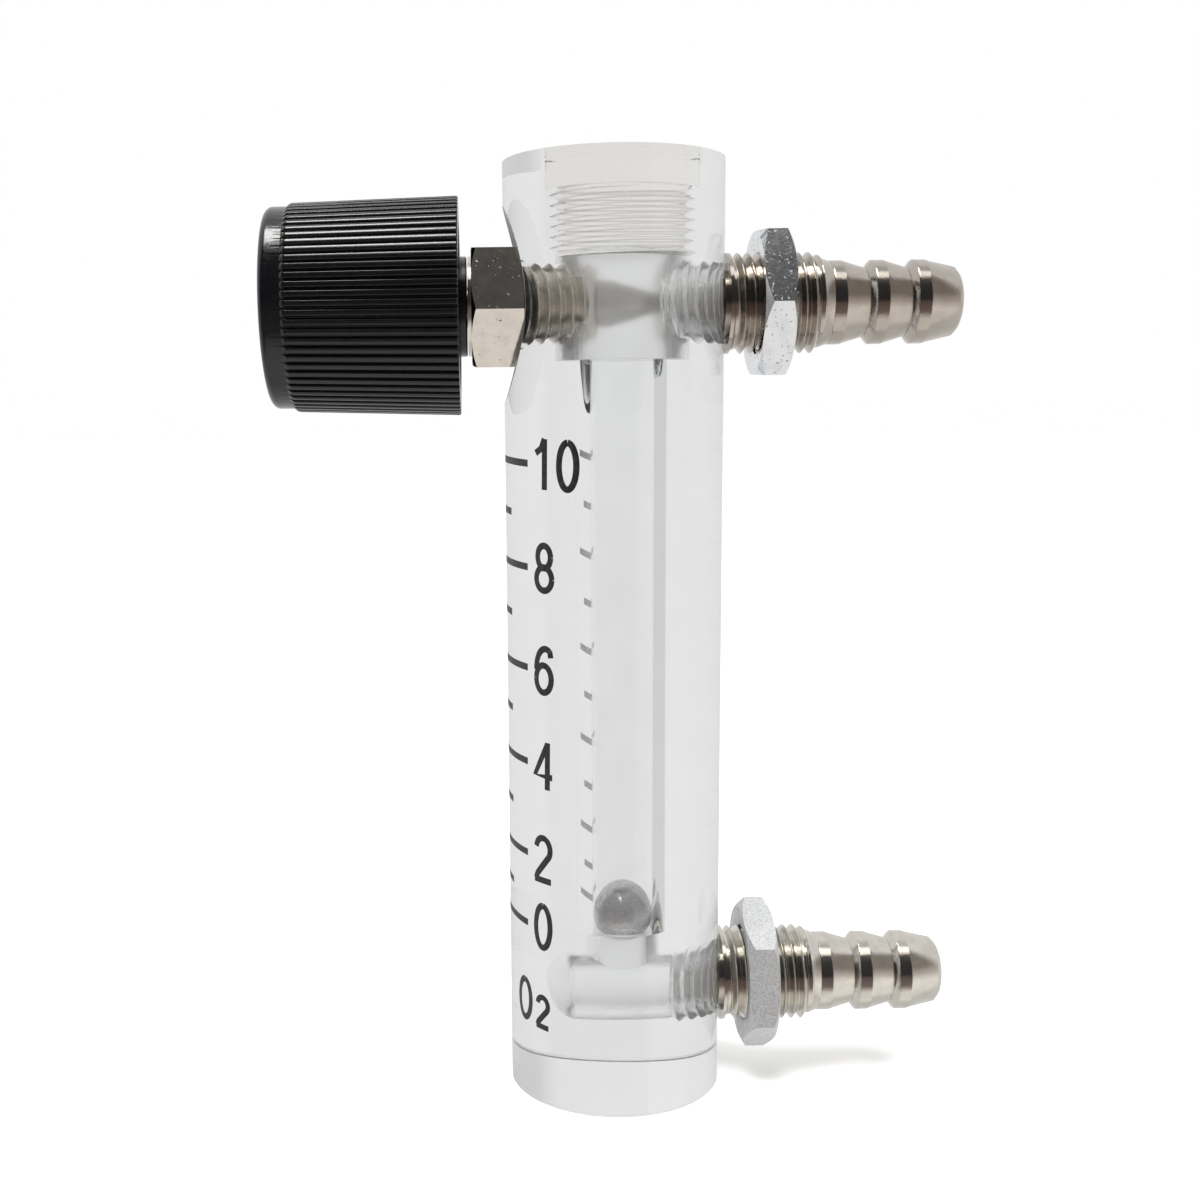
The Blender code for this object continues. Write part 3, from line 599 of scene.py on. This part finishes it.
def build_nut(name, height, low, turn):
    """A thin lock nut, chamfered on both sides."""
    high = low + NUT_THICKNESS
    hole = M10_CREST + NUT_THREAD_GAP
    inset = NUT_THREAD_INSET
    path = [
        (NUT_MOUTH_RADIUS, high),
        *hexagon_ends(low, high, NUT_ACROSS_FLATS, math.radians(30)),
        (NUT_MOUTH_RADIUS, low),
        ("thread", low + inset, high - inset, hole, hole + NUT_THREAD_DEPTH, inset, inset),
    ]
    form = turned(f"{name}_form", path, "X", (0.0, height), closed=True)
    nut = hexagon(name, NUT_ACROSS_FLATS, low - OVERRUN, high + OVERRUN, turn, height)
    cut(nut, form, "INTERSECT")
    shade(nut, 25)
    return nut


def build_stem():
    """The needle, its stem with the seal ring's groove, and the knob's shaft."""
    base = NEEDLE_TIP_X - (STEM_RADIUS - NEEDLE_TIP_RADIUS) / math.tan(NEEDLE_HALF_ANGLE)
    path = [
        (0.0, NEEDLE_TIP_X),
        (NEEDLE_TIP_RADIUS - 0.1, NEEDLE_TIP_X),
        (NEEDLE_TIP_RADIUS, NEEDLE_TIP_X - 0.1),
        (STEM_RADIUS, base),
        (STEM_RADIUS, GROOVE_START_X),
        (GROOVE_RADIUS, GROOVE_START_X),
        (GROOVE_RADIUS, GROOVE_END_X),
        (STEM_RADIUS, GROOVE_END_X),
        (STEM_RADIUS, SHAFT_SHOULDER_X),
        (SHAFT_RADIUS, SHAFT_SHOULDER_X),
        (SHAFT_RADIUS, SHAFT_END_X),
        (0.0, SHAFT_END_X),
    ]
    stem = turned("needle", path, "X", (0.0, VALVE_Z), sides=64)
    shade(stem)
    finish(stem, plated("needle_steel", (0.56, 0.54, 0.51), 0.34, 0.2))
    return stem


def build_ball():
    points = 40
    path = []
    for step in range(points + 1):
        angle = math.pi * step / points
        path.append((max(FLOAT_RADIUS * math.sin(angle), 0.0), FLOAT_Z + FLOAT_RADIUS * math.cos(angle)))
    ball = turned("ball", path, "Z", (TUBE_X, 0.0), sides=64)
    ball.data.shade_smooth()
    ball.data.materials.append(plated("ball_steel", (0.60, 0.60, 0.60), 0.25, 0.1, 0.3))
    return ball


# Knob


def knob_outside():
    """The knob's outside from its front face to its rear rim: (length, radius, depth of the grooves)."""
    outside = []
    for angle in range(90, -1, -10):
        inset = KNOB_ROUNDING * (1 - math.cos(math.radians(angle)))
        advance = KNOB_ROUNDING * (1 - math.sin(math.radians(angle)))
        outside.append((KNOB_FRONT_X + advance, KNOB_BAND_RADIUS - inset, 0.0))
    start = KNOB_FRONT_X + KNOB_BAND_LENGTH
    outside.append((start, KNOB_BAND_RADIUS, 0.0))
    for share in (0.15, 0.35, 0.6, 0.8, 1.0):
        radius = KNOB_BAND_RADIUS + (KNOB_FRONT_RADIUS - KNOB_BAND_RADIUS) * math.sin(math.pi / 2 * share)
        outside.append((start + RIB_FADE * share, radius, RIB_DEPTH * share))
    outside.append((KNOB_REAR_X - KNOB_EDGE, KNOB_REAR_RADIUS, RIB_DEPTH))
    outside.append((KNOB_REAR_X, KNOB_REAR_RADIUS - KNOB_EDGE, RIB_EDGE_DEPTH))
    return outside


def build_knob():
    """The ribbed shell, with rounded ribs that fade into the plain front band."""
    angles = [TAU * (rib + phase) / RIB_COUNT for rib in range(RIB_COUNT) for phase, _ in RIB_SHAPE]
    inner = KNOB_FRONT_RADIUS - KNOB_WALL
    inside = [
        (KNOB_REAR_X, inner + 0.15),
        (KNOB_REAR_X - 0.15, inner),
        (KNOB_INNER_X, inner),
        (KNOB_INNER_X, KNOB_HUB_RADIUS + 0.2),
        (KNOB_INNER_X + 0.2, KNOB_HUB_RADIUS),
        *KNOB_HUB_PATH,
    ]
    shape = bmesh.new()
    rings = []
    for length, radius, depth in knob_outside() + [(length, radius, 0.0) for length, radius in inside]:
        ring = []
        for step, angle in enumerate(angles):
            reach = radius - depth * RIB_SHAPE[step % len(RIB_SHAPE)][1]
            ring.append(shape.verts.new(place_on_axis("X", reach, angle, length, (0, VALVE_Z))))
        rings.append(ring)
    rings.append(rings[0])
    for first, second in zip(rings, rings[1:]):
        for step in range(len(angles)):
            after = (step + 1) % len(angles)
            shape.faces.new((first[step], first[after], second[after], second[step]))
    bmesh.ops.recalc_face_normals(shape, faces=shape.faces)
    knob = to_object("knob_shell", shape)
    shade(knob, 40)
    finish(knob, moulded("knob_plastic", (0.0035, 0.0035, 0.0045), 0.16))
    return knob


# Scale print

# In millimetres, round the body from the knob's side towards the reader, and up from the foot
SCALE_INK_LIFT = 0.012
STROKE = 0.66
TICK_WIDTH = 0.70
LONG_TICK, SHORT_TICK = 6.55, 3.15
SCALE_SKEW = 0.0145
SCALE_MIDDLE = 42.0
SCALE_SLOPE = 0.06
SCALE_PIVOT = 11.0
TICK_PARTS = 16
QUAD_WIDTH = 0.5
# Ticks: (height of the end towards the reader, reach on both sides of the knob's side)
TICKS = (
    (65.72, LONG_TICK), (60.89, SHORT_TICK), (55.58, LONG_TICK), (50.76, SHORT_TICK), (45.54, LONG_TICK),
    (40.94, SHORT_TICK), (35.95, LONG_TICK), (31.30, SHORT_TICK), (26.47, LONG_TICK), (22.65, SHORT_TICK),
    (19.01, LONG_TICK),
)
# Numerals and the gas's formula: (text, left, bottom, width, height, step to the next numeral, stroke)
NUMERALS = (
    ("10", 7.5, 62.95, 2.5, 5.1, 2.75, STROKE),
    ("8", 7.55, 52.93, 2.6, 5.05, 0, STROKE),
    ("6", 7.55, 42.8, 2.6, 5.05, 0, STROKE),
    ("4", 7.55, 33.2, 2.6, 5.05, 0, STROKE),
    ("2", 7.55, 23.55, 2.6, 5.05, 0, STROKE),
    ("0", 7.55, 16.45, 2.6, 5.05, 0, STROKE),
    ("0", 4.6, 8.05, 2.75, 4.75, 0, STROKE),
    ("2", 7.8, 8.0, 2.1, 3.75, 0, 0.6),
)


def arc(centre, radii, start, end, steps=20):
    """Points on an ellipse between two angles in degrees."""
    points = []
    for i in range(steps + 1):
        angle = math.radians(start + (end - start) * i / steps)
        points.append((centre[0] + radii[0] * math.cos(angle), centre[1] + radii[1] * math.sin(angle)))
    return points


def glyph(character):
    """Strokes of a plain 0, 1, 2, 4, 6 or 8, as centre lines in a box 1 wide and 2 high."""
    if character == "0":
        return [arc((0.5, 1.0), (0.5, 1.0), 90, 450, 40)]
    if character == "1":
        return [[(-0.05, 1.46), (0.34, 1.68), (0.56, 2.1)], [(0.57, 2.1), (0.57, -0.1)]]
    if character == "2":
        top = arc((0.5, 1.46), (0.48, 0.54), 172, -32, 20)
        return [top + [(0.42, 0.62), (0.12, 0.28), (0.0, 0.0)], [(-0.1, 0.0), (1.05, 0.0)]]
    if character == "4":
        return [[(1.1, 0.52), (-0.08, 0.52), (0.78, 2.02)], [(0.78, 2.1), (0.78, -0.1)]]
    if character == "6":
        loop = arc((0.5, 0.62), (0.5, 0.62), 180, 540, 32)
        back = arc((0.62, 1.0), (0.62, 1.0), 180, 62, 16)
        return [loop, back + [(0.96, 1.62)]]
    return [arc((0.5, 1.5), (0.42, 0.5), 0, 360, 32), arc((0.5, 0.52), (0.5, 0.52), 0, 360, 32)]


def ribbon(shape, points, half):
    """A flat stroke of even width along a centre line, as (u, v) quads."""
    edges = []
    for i, (u, v) in enumerate(points):
        before = points[max(i - 1, 0)]
        after = points[min(i + 1, len(points) - 1)]
        direction = Vector((after[0] - before[0], after[1] - before[1]))
        direction.normalize()
        across = Vector((-direction.y, direction.x)) * half
        edges.append(((u + across.x, v + across.y), (u - across.x, v - across.y)))
    for (a, b), (c, d) in zip(edges, edges[1:]):
        flat_quad(shape, a, b, d, c)


def flat_quad(shape, a, b, c, d):
    """One quad on the body's surface, split so that it follows the curve."""
    width = max(abs(a[0] - c[0]), abs(b[0] - d[0]), abs(a[0] - b[0]))
    parts = max(1, math.ceil(width / QUAD_WIDTH))
    for i in range(parts):
        low, high = i / parts, (i + 1) / parts
        corners = [mix(a, d, low), mix(b, c, low), mix(b, c, high), mix(a, d, high)]
        shape.faces.new([shape.verts.new(on_body(u, v)) for u, v in corners])


def mix(first, second, share):
    """A point a share of the way between two others."""
    return (first[0] + (second[0] - first[0]) * share, first[1] + (second[1] - first[1]) * share)


def on_body(u, v):
    """A point of the print, u round the body from the knob's side towards the reader and v up."""
    angle = math.pi + (u + SCALE_SKEW * (v - SCALE_MIDDLE)) / BODY_RADIUS
    radius = (BODY_RADIUS + SCALE_INK_LIFT) * MM
    height = v - SCALE_SLOPE * (u - SCALE_PIVOT)
    return (radius * math.cos(angle), radius * math.sin(angle), height * MM)


def write(shape, text, left, bottom, width, height, step, stroke):
    """Numerals whose ink starts at left and bottom; step is the distance from one to the next."""
    half = stroke / 2
    wide, high = width - stroke, height - stroke
    for index, character in enumerate(text):
        start = left + half + index * step
        for points in glyph(character):
            ribbon(shape, [(start + x * wide, bottom + half + y / 2 * high) for x, y in points], half)


def build_scale():
    """The printed scale, as thin flat strokes just off the body."""
    shape = bmesh.new()
    half = TICK_WIDTH / 2
    for end_height, reach in TICKS:
        height = end_height - SCALE_SLOPE * (SCALE_PIVOT - reach)
        top, bottom = height + half, height - half
        for part in range(TICK_PARTS):
            low = -reach + 2 * reach * part / TICK_PARTS
            high = low + 2 * reach / TICK_PARTS
            flat_quad(shape, (low, top), (low, bottom), (high, bottom), (high, top))
    for numeral in NUMERALS:
        write(shape, *numeral)
    scale = to_object("scale_print", shape)
    finish(scale, ink())
    return scale


# Materials


def blank(name):
    """A new material with its node tree and its shader."""
    material = bpy.data.materials.new(name)
    material.use_nodes = True
    tree = material.node_tree
    return material, tree, tree.nodes["Principled BSDF"]


def noise(tree, scale, detail, stretch=(1.0, 1.0, 1.0)):
    """Noise in the piece's own coordinates, in millimetres, stretched along the axes."""
    place = tree.nodes.new("ShaderNodeTexCoord")
    mapping = tree.nodes.new("ShaderNodeMapping")
    mapping.inputs["Scale"].default_value = tuple(1000.0 * s for s in stretch)
    texture = tree.nodes.new("ShaderNodeTexNoise")
    texture.inputs["Scale"].default_value = scale
    texture.inputs["Detail"].default_value = detail
    tree.links.new(place.outputs["Object"], mapping.inputs["Vector"])
    tree.links.new(mapping.outputs["Vector"], texture.inputs["Vector"])
    return texture.outputs["Fac"]


def ranged(tree, value, low, high, start=0.3, end=0.7):
    """Carries a value between start and end over to low and high."""
    node = tree.nodes.new("ShaderNodeMapRange")
    node.inputs["From Min"].default_value = start
    node.inputs["From Max"].default_value = end
    node.inputs["To Min"].default_value = low
    node.inputs["To Max"].default_value = high
    tree.links.new(value, node.inputs["Value"])
    return node.outputs["Result"]


def ramp(tree, value, dark, light, low=0.35, high=0.65):
    """A colour between dark at a low value and light at a high one."""
    node = tree.nodes.new("ShaderNodeValToRGB")
    node.color_ramp.elements[0].position = low
    node.color_ramp.elements[0].color = (*dark, 1.0)
    node.color_ramp.elements[1].position = high
    node.color_ramp.elements[1].color = (*light, 1.0)
    tree.links.new(value, node.inputs["Fac"])
    return node.outputs["Color"]


def combined(tree, operation, first, second):
    """One Math node on a socket and a second socket or a number."""
    node = tree.nodes.new("ShaderNodeMath")
    node.operation = operation
    tree.links.new(first, node.inputs[0])
    if isinstance(second, float):
        node.inputs[1].default_value = second
    else:
        tree.links.new(second, node.inputs[1])
    return node.outputs[0]


def vector_node(tree, operation, source):
    node = tree.nodes.new("ShaderNodeVectorMath")
    node.operation = operation
    tree.links.new(source, node.inputs[0])
    return node


def mixed_surface(tree, factor, first, second, output):
    """Mixes two shaders into a tree's output."""
    mixer = tree.nodes.new("ShaderNodeMixShader")
    tree.links.new(factor, mixer.inputs["Fac"])
    tree.links.new(first.outputs[0], mixer.inputs[1])
    tree.links.new(second.outputs[0], mixer.inputs[2])
    tree.links.new(mixer.outputs[0], output.inputs["Surface"])


def bump(tree, height, strength, distance, chained=None):
    """A bump from a height, on top of an earlier one if there is one; the distance is in millimetres."""
    node = tree.nodes.new("ShaderNodeBump")
    node.inputs["Strength"].default_value = strength
    node.inputs["Distance"].default_value = distance * MM
    tree.links.new(height, node.inputs["Height"])
    if chained:
        tree.links.new(chained, node.inputs["Normal"])
    return node.outputs["Normal"]


def acrylic(name, roughness, marks, index=ACRYLIC_INDEX, milk=0.0, tone=1.0, thread=False):
    """Clear acrylic that lets lamplight through, polished or with the fine marks of a drill or a tap."""
    material, tree, shader = blank(name)
    shader.inputs["Transmission Weight"].default_value = 1.0 - milk
    shader.inputs["IOR"].default_value = index
    if thread:
        tint = ramp(tree, thread_depth(tree), (0.76, 0.755, 0.745), (0.99, 0.98, 0.96), 0.05, 0.35)
    else:
        # tone scales the tint: below 1 it is painted shade, above 1 painted light
        light = (0.95 * tone, 0.955 * tone, 0.955 * tone)
        dark = (0.925 * tone, 0.93 * tone, 0.93 * tone)
        tint = ramp(tree, noise(tree, 0.25, 3), dark, light)
    tree.links.new(tint, shader.inputs["Base Color"])
    smear = noise(tree, 0.8, 4, (1.0, 1.0, 0.4))
    rough = ranged(tree, smear, roughness, roughness + 0.02 + marks * 0.2)
    tree.links.new(rough, shader.inputs["Roughness"])
    if marks:
        tree.links.new(bump(tree, noise(tree, 6.0, 3), marks, 0.01), shader.inputs["Normal"])
    path = tree.nodes.new("ShaderNodeLightPath")
    clear = tree.nodes.new("ShaderNodeBsdfTransparent")
    clear.inputs["Color"].default_value = (0.95, 0.955, 0.955, 1.0)
    mixed_surface(tree, path.outputs["Is Shadow Ray"], shader, clear, tree.nodes["Material Output"])
    return material


def thread_depth(tree):
    """How far a point lies from the root and the crest of the plug's thread, where lines of cement show."""
    place = tree.nodes.new("ShaderNodeTexCoord")
    level = vector_node(tree, "MULTIPLY_ADD", place.outputs["Object"])
    level.inputs[1].default_value = (1000.0, 1000.0, 0.0)
    level.inputs[2].default_value = (-TUBE_X, 0.0, 0.0)
    reach = vector_node(tree, "LENGTH", level.outputs["Vector"])
    depth = ranged(tree, reach.outputs["Value"], -1.0, 1.0, M10_ROOT, M10_CREST)
    depth.node.clamp = False
    for operation, second in (("ABSOLUTE", 0.0), ("SUBTRACT", 1.0), ("ABSOLUTE", 0.0)):
        depth = combined(tree, operation, depth, second)
    return depth


def plated(name, colour, roughness, marks, grain=0.0, metallic=1.0, specks=None):
    """Plated or turned metal with the lathe's rings along X, tarnish, a grain and sometimes dull specks."""
    material, tree, shader = blank(name)
    shader.inputs["Metallic"].default_value = metallic
    corroded = grain > 1.0
    shade_share = 0.74 if corroded else 0.91
    cloud = noise(tree, 4.5, 8) if corroded else noise(tree, 0.7, 5)
    dark = tuple(c * shade_share for c in colour)
    tree.links.new(ramp(tree, cloud, dark, colour, 0.36, 0.58), shader.inputs["Base Color"])
    rough = ranged(tree, noise(tree, 1.6, 6), roughness * 0.8, roughness * 1.35)
    if specks:
        scale, threshold = specks
        dull = ranged(tree, noise(tree, scale, 2), 0.0, 0.8, threshold, threshold + 0.03)
        rough = combined(tree, "MAXIMUM", rough, dull)
    tree.links.new(rough, shader.inputs["Roughness"])
    rings = bump(tree, noise(tree, 2.0, 3, (6.0, 0.3, 0.3)), marks, 0.004)
    normal = bump(tree, noise(tree, 5.0, 4), 0.15 + grain, 0.004 + 0.03 * grain, rings)
    tree.links.new(normal, shader.inputs["Normal"])
    return material


def grained(name, dark, light, colour_scale, roughness, rough_scale, grain):
    """Plastic or rubber: scale and detail of its noises, and scale and strength of its grain."""
    material, tree, shader = blank(name)
    tree.links.new(ramp(tree, noise(tree, *colour_scale), dark, light), shader.inputs["Base Color"])
    tree.links.new(ranged(tree, noise(tree, *rough_scale), *roughness), shader.inputs["Roughness"])
    tree.links.new(bump(tree, noise(tree, grain[0], 4), grain[1], 0.01), shader.inputs["Normal"])
    return material


def moulded(name, colour, roughness):
    """Moulded plastic with a fine spark-eroded grain."""
    light = tuple(c * 1.5 for c in colour)
    rough = (roughness - 0.05, roughness + 0.08)
    return grained(name, colour, light, (1.5, 4), rough, (3.0, 5), (9.0, 0.25))


def rubber(name):
    dark, light = (0.008, 0.008, 0.009), (0.02, 0.02, 0.021)
    return grained(name, dark, light, (2.0, 4), (0.42, 0.6), (4.0, 5), (8.0, 0.3))


def ink():
    """Black ink, with a painted reflection: the back is pale grey, so that the acrylic's inner reflections
    show the print paler.
    """
    material, tree, shader = blank("scale_ink")
    front = ramp(tree, noise(tree, 2.5, 5), (0.012, 0.012, 0.013), (0.03, 0.03, 0.032))
    side = tree.nodes.new("ShaderNodeNewGeometry")
    colour = tree.nodes.new("ShaderNodeMix")
    colour.data_type = "RGBA"
    # Painted reflection: the pale grey back that the acrylic's inner reflections show
    colour.inputs[7].default_value = (0.82, 0.82, 0.83, 1.0)
    tree.links.new(side.outputs["Backfacing"], colour.inputs["Factor"])
    tree.links.new(front, colour.inputs[6])
    tree.links.new(colour.outputs[2], shader.inputs["Base Color"])
    tree.links.new(ranged(tree, noise(tree, 5.0, 4), 0.4, 0.6), shader.inputs["Roughness"])
    return material


def finish(item, material):
    """Gives a piece one material."""
    item.data.materials.clear()
    item.data.materials.append(material)


# Stage


def place_camera():
    ahead = math.cos(CAMERA_PITCH)
    forward = Vector((math.sin(CAMERA_YAW) * ahead, math.cos(CAMERA_YAW) * ahead, -math.sin(CAMERA_PITCH)))
    level = Vector((math.cos(CAMERA_YAW), -math.sin(CAMERA_YAW), 0.0))
    above = level.cross(forward)
    right = math.cos(CAMERA_ROLL) * level + math.sin(CAMERA_ROLL) * above
    up = math.cos(CAMERA_ROLL) * above - math.sin(CAMERA_ROLL) * level
    data = bpy.data.cameras.new("camera")
    data.sensor_width = SENSOR
    data.lens = FOCAL_PIXELS / PICTURE * SENSOR
    data.shift_x = (PICTURE / 2 - PRINCIPAL_POINT[0]) / PICTURE
    data.shift_y = (PRINCIPAL_POINT[1] - PICTURE / 2) / PICTURE
    data.clip_start = 0.01
    data.clip_end = 20.0
    camera = bpy.data.objects.new("camera", data)
    turn = Matrix((right, up, -forward)).transposed().to_4x4()
    camera.matrix_world = Matrix.Translation(Vector(CAMERA_PLACE) * MM) @ turn
    bpy.context.scene.collection.objects.link(camera)
    bpy.context.scene.camera = camera


def build_floor():
    """A pale floor that keeps the shadow. Glass and metal look past it beyond the foot."""
    shape = bmesh.new()
    bmesh.ops.create_circle(shape, cap_ends=True, radius=FLOOR_RADIUS, segments=64)
    floor = to_object("floor", shape)
    floor.location.z = -FLOOR_DROP
    material, tree, shader = blank("floor_white")
    shader.inputs["Base Color"].default_value = (0.86, 0.86, 0.855, 1.0)
    shader.inputs["Roughness"].default_value = 0.9
    shader.inputs["Specular IOR Level"].default_value = 0.1
    shader.inputs["Emission Color"].default_value = (1.0, 1.0, 1.0, 1.0)
    path = tree.nodes.new("ShaderNodeLightPath")
    place = tree.nodes.new("ShaderNodeTexCoord")
    reach = vector_node(tree, "LENGTH", place.outputs["Object"]).outputs["Value"]
    glow = ranged(tree, reach, *FLOOR_GLOW, *FLOOR_FADE)
    lift = combined(tree, "MULTIPLY", path.outputs["Is Camera Ray"], glow)
    tree.links.new(lift, shader.inputs["Emission Strength"])
    seen = combined(tree, "MAXIMUM", path.outputs["Is Transmission Ray"], path.outputs["Is Glossy Ray"])
    beyond = combined(tree, "MULTIPLY", seen, ranged(tree, reach, 0.0, 1.0, *FLOOR_SEEN))
    plain = tree.nodes.new("ShaderNodeBsdfTransparent")
    mixed_surface(tree, beyond, shader, plain, tree.nodes["Material Output"])
    finish(floor, material)


def build_world():
    """White to the camera. Everything else sees a studio: pale behind, bright above, and dim in front."""
    world = bpy.data.worlds.new("studio")
    bpy.context.scene.world = world
    world.use_nodes = True
    tree = world.node_tree
    tree.nodes.clear()
    place = tree.nodes.new("ShaderNodeTexCoord")
    parts = tree.nodes.new("ShaderNodeSeparateXYZ")
    tree.links.new(place.outputs["Generated"], parts.inputs[0])

    def value(low_in, high_in, low_out, high_out, source, smooth=True):
        node = tree.nodes.new("ShaderNodeMapRange")
        node.interpolation_type = "SMOOTHSTEP" if smooth else "LINEAR"
        node.inputs["From Min"].default_value = low_in
        node.inputs["From Max"].default_value = high_in
        node.inputs["To Min"].default_value = low_out
        node.inputs["To Max"].default_value = high_out
        tree.links.new(source, node.inputs["Value"])
        return node.outputs["Result"]

    def profile(name, steps):
        node = tree.nodes.new("ShaderNodeValToRGB")
        node.name = name
        elements = node.color_ramp.elements
        while len(elements) < len(steps):
            elements.new(0.5)
        for element, (height, colour) in zip(elements, steps):
            element.position = 0.5 + height / 2
            element.color = (*colour, 1.0)
        tree.links.new(level, node.inputs["Fac"])
        return node.outputs["Color"]

    def times(first, second):
        return combined(tree, "MULTIPLY", first, second)

    def between(rise, fall, source):
        return times(value(*rise, 0.0, 1.0, source), value(*fall, 1.0, 0.0, source))

    def mixed(blend_type, factor, first, second):
        node = tree.nodes.new("ShaderNodeMix")
        node.data_type = "RGBA"
        node.blend_type = blend_type
        tree.links.new(factor, node.inputs["Factor"])
        tree.links.new(first, node.inputs[6])
        if isinstance(second, tuple):
            node.inputs[7].default_value = (*second, 1.0)
        else:
            tree.links.new(second, node.inputs[7])
        return node.outputs[2]

    level = value(-1.0, 1.0, 0.0, 1.0, parts.outputs["Z"], False)
    flat = vector_node(tree, "MULTIPLY", place.outputs["Generated"])
    flat.inputs[1].default_value = (1.0, 1.0, 0.0)
    bearing = vector_node(tree, "NORMALIZE", flat.outputs["Vector"])
    bearing_parts = tree.nodes.new("ShaderNodeSeparateXYZ")
    tree.links.new(bearing.outputs["Vector"], bearing_parts.inputs[0])
    side = value(0.45, 0.62, 0.0, 1.0, bearing_parts.outputs["X"])
    front = mixed("MIX", side, profile("front", ROOM_FRONT), profile("side", ROOM_SIDE))
    back = value(-0.30, 0.0, 0.0, 1.0, bearing_parts.outputs["Y"])
    around = mixed("MIX", back, front, profile("back", ROOM_BACK))
    path = tree.nodes.new("ShaderNodeLightPath")
    depth = path.outputs["Transmission Depth"]
    through = value(0.4, 0.6, 0.0, 1.0, depth)
    direct = times(path.outputs["Is Glossy Ray"], value(0.4, 0.6, 1.0, 0.0, depth))
    across = between(*LAMP_ACROSS, parts.outputs["X"])
    along = between(*LAMP_ALONG, parts.outputs["Y"])
    above = times(value(*LAMP_HEIGHT, 0.0, 1.0, parts.outputs["Z"]), direct)
    shown = times(times(across, along), above)
    lit = mixed("ADD", shown, around, LAMP_COLOUR)
    inner = value(0.4, 0.6, 0.0, 1.0, path.outputs["Glossy Depth"])
    dimmed = value(0.0, 1.0, 0.0, INNER_ROOM, inner, False)
    capped = mixed("DARKEN", dimmed, profile("clear", ROOM_CLEAR), around)
    screened = times(inner, value(0.45, 0.70, 0.0, 1.0, bearing_parts.outputs["X"]))
    seen = mixed("MIX", through, lit, mixed("MULTIPLY", screened, capped, SCREEN))
    studio = tree.nodes.new("ShaderNodeBackground")
    tree.links.new(seen, studio.inputs["Color"])
    white = tree.nodes.new("ShaderNodeBackground")
    white.inputs["Color"].default_value = (1.0, 1.0, 1.0, 1.0)
    output = tree.nodes.new("ShaderNodeOutputWorld")
    mixed_surface(tree, path.outputs["Is Camera Ray"], studio, white, output)


def add_lamp(name, place, size, power, seen_through):
    """A soft rectangular lamp that reflections don't show."""
    data = bpy.data.lights.new(name, "AREA")
    data.shape = "RECTANGLE"
    data.size, data.size_y = size
    data.energy = power
    lamp = bpy.data.objects.new(name, data)
    lamp.location = place
    lamp.rotation_euler = (Vector(LAMP_TARGET) - Vector(place)).to_track_quat("-Z", "Y").to_euler()
    lamp.visible_glossy = False
    lamp.visible_transmission = seen_through
    bpy.context.scene.collection.objects.link(lamp)


def attach(piece, body, node):
    """Puts a piece on its body, in place of the solid that it replaces."""
    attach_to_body(piece, body)
    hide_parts(node)


def build_hose_ends():
    """The two hose connectors and their lock nuts, the connectors in lit and shaded copies of one nickel.
    """
    # Painted shade and light: one nickel in three tones, darker on the outlet, paler on the inlet and paler
    # still on the threads inside the acrylic
    shaded_warm_nickel = plated("outlet_nickel", (0.50, 0.455, 0.405), 0.12, 0.10, 0.45)
    lit_pale_nickel = plated("inlet_nickel", (0.68, 0.65, 0.59), 0.12, 0.10, 0.45)
    lit_inner_nickel = plated("connector_thread_nickel", (0.74, 0.705, 0.665), 0.34, 0.10)
    bright_zinc = plated("bright_nut_zinc", (0.78, 0.80, 0.83), 0.10, 0.1, 0.25, specks=(3.4, 0.64))
    dull_zinc = plated("dull_nut_zinc", (0.74, 0.75, 0.76), 0.40, 0.1, 1.5, 0.6)
    for port, height, nut_x, turn, nickel, zinc in (
        ("outlet", VALVE_Z, OUTLET_NUT_X, OUTLET_NUT_TURN, shaded_warm_nickel, bright_zinc),
        ("inlet", INLET_Z, INLET_NUT_X, INLET_NUT_TURN, lit_pale_nickel, dull_zinc),
    ):
        connector = build_connector(f"{port}_hose_tail", height)
        finish(connector, nickel)
        connector.data.materials.append(lit_inner_nickel)
        for polygon in connector.data.polygons:
            if polygon.center.x / MM < SHOULDER_X - 0.35:
                polygon.material_index = 1
        attach(connector, "housing", f"{port}_connector")
        nut = build_nut(f"{port}_nut_piece", height, nut_x, turn)
        finish(nut, zinc)
        attach(nut, f"{port}_nut", f"{port}_lock_nut")


def main():
    bpy.context.scene.view_settings.view_transform = "Standard"
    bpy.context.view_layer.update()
    place_camera()
    build_world()
    build_floor()
    for lamp in LAMPS:
        add_lamp(*lamp)

    attach(build_body(), "housing", "body")
    attach(build_plug(), "housing", "top_plug")
    attach(build_bonnet(), "housing", "valve_bonnet")
    attach(build_stem(), "knob_assembly", "needle_stem")
    attach(build_ball(), "float", "float_ball")
    attach(build_knob(), "knob_assembly", "knob")
    build_hose_ends()
    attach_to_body(build_scale(), "housing")

    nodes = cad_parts
    seal = rubber("seal_rubber")
    for name in ("bonnet_oring", "stem_oring"):
        finish(nodes[name], seal)
    finish(nodes["knob_cap"], moulded("cap_plastic", (0.004, 0.004, 0.005), 0.24))
    finish(nodes["knob_screw"], plated("screw_zinc", (0.7, 0.71, 0.72), 0.3, 0.2))


main()
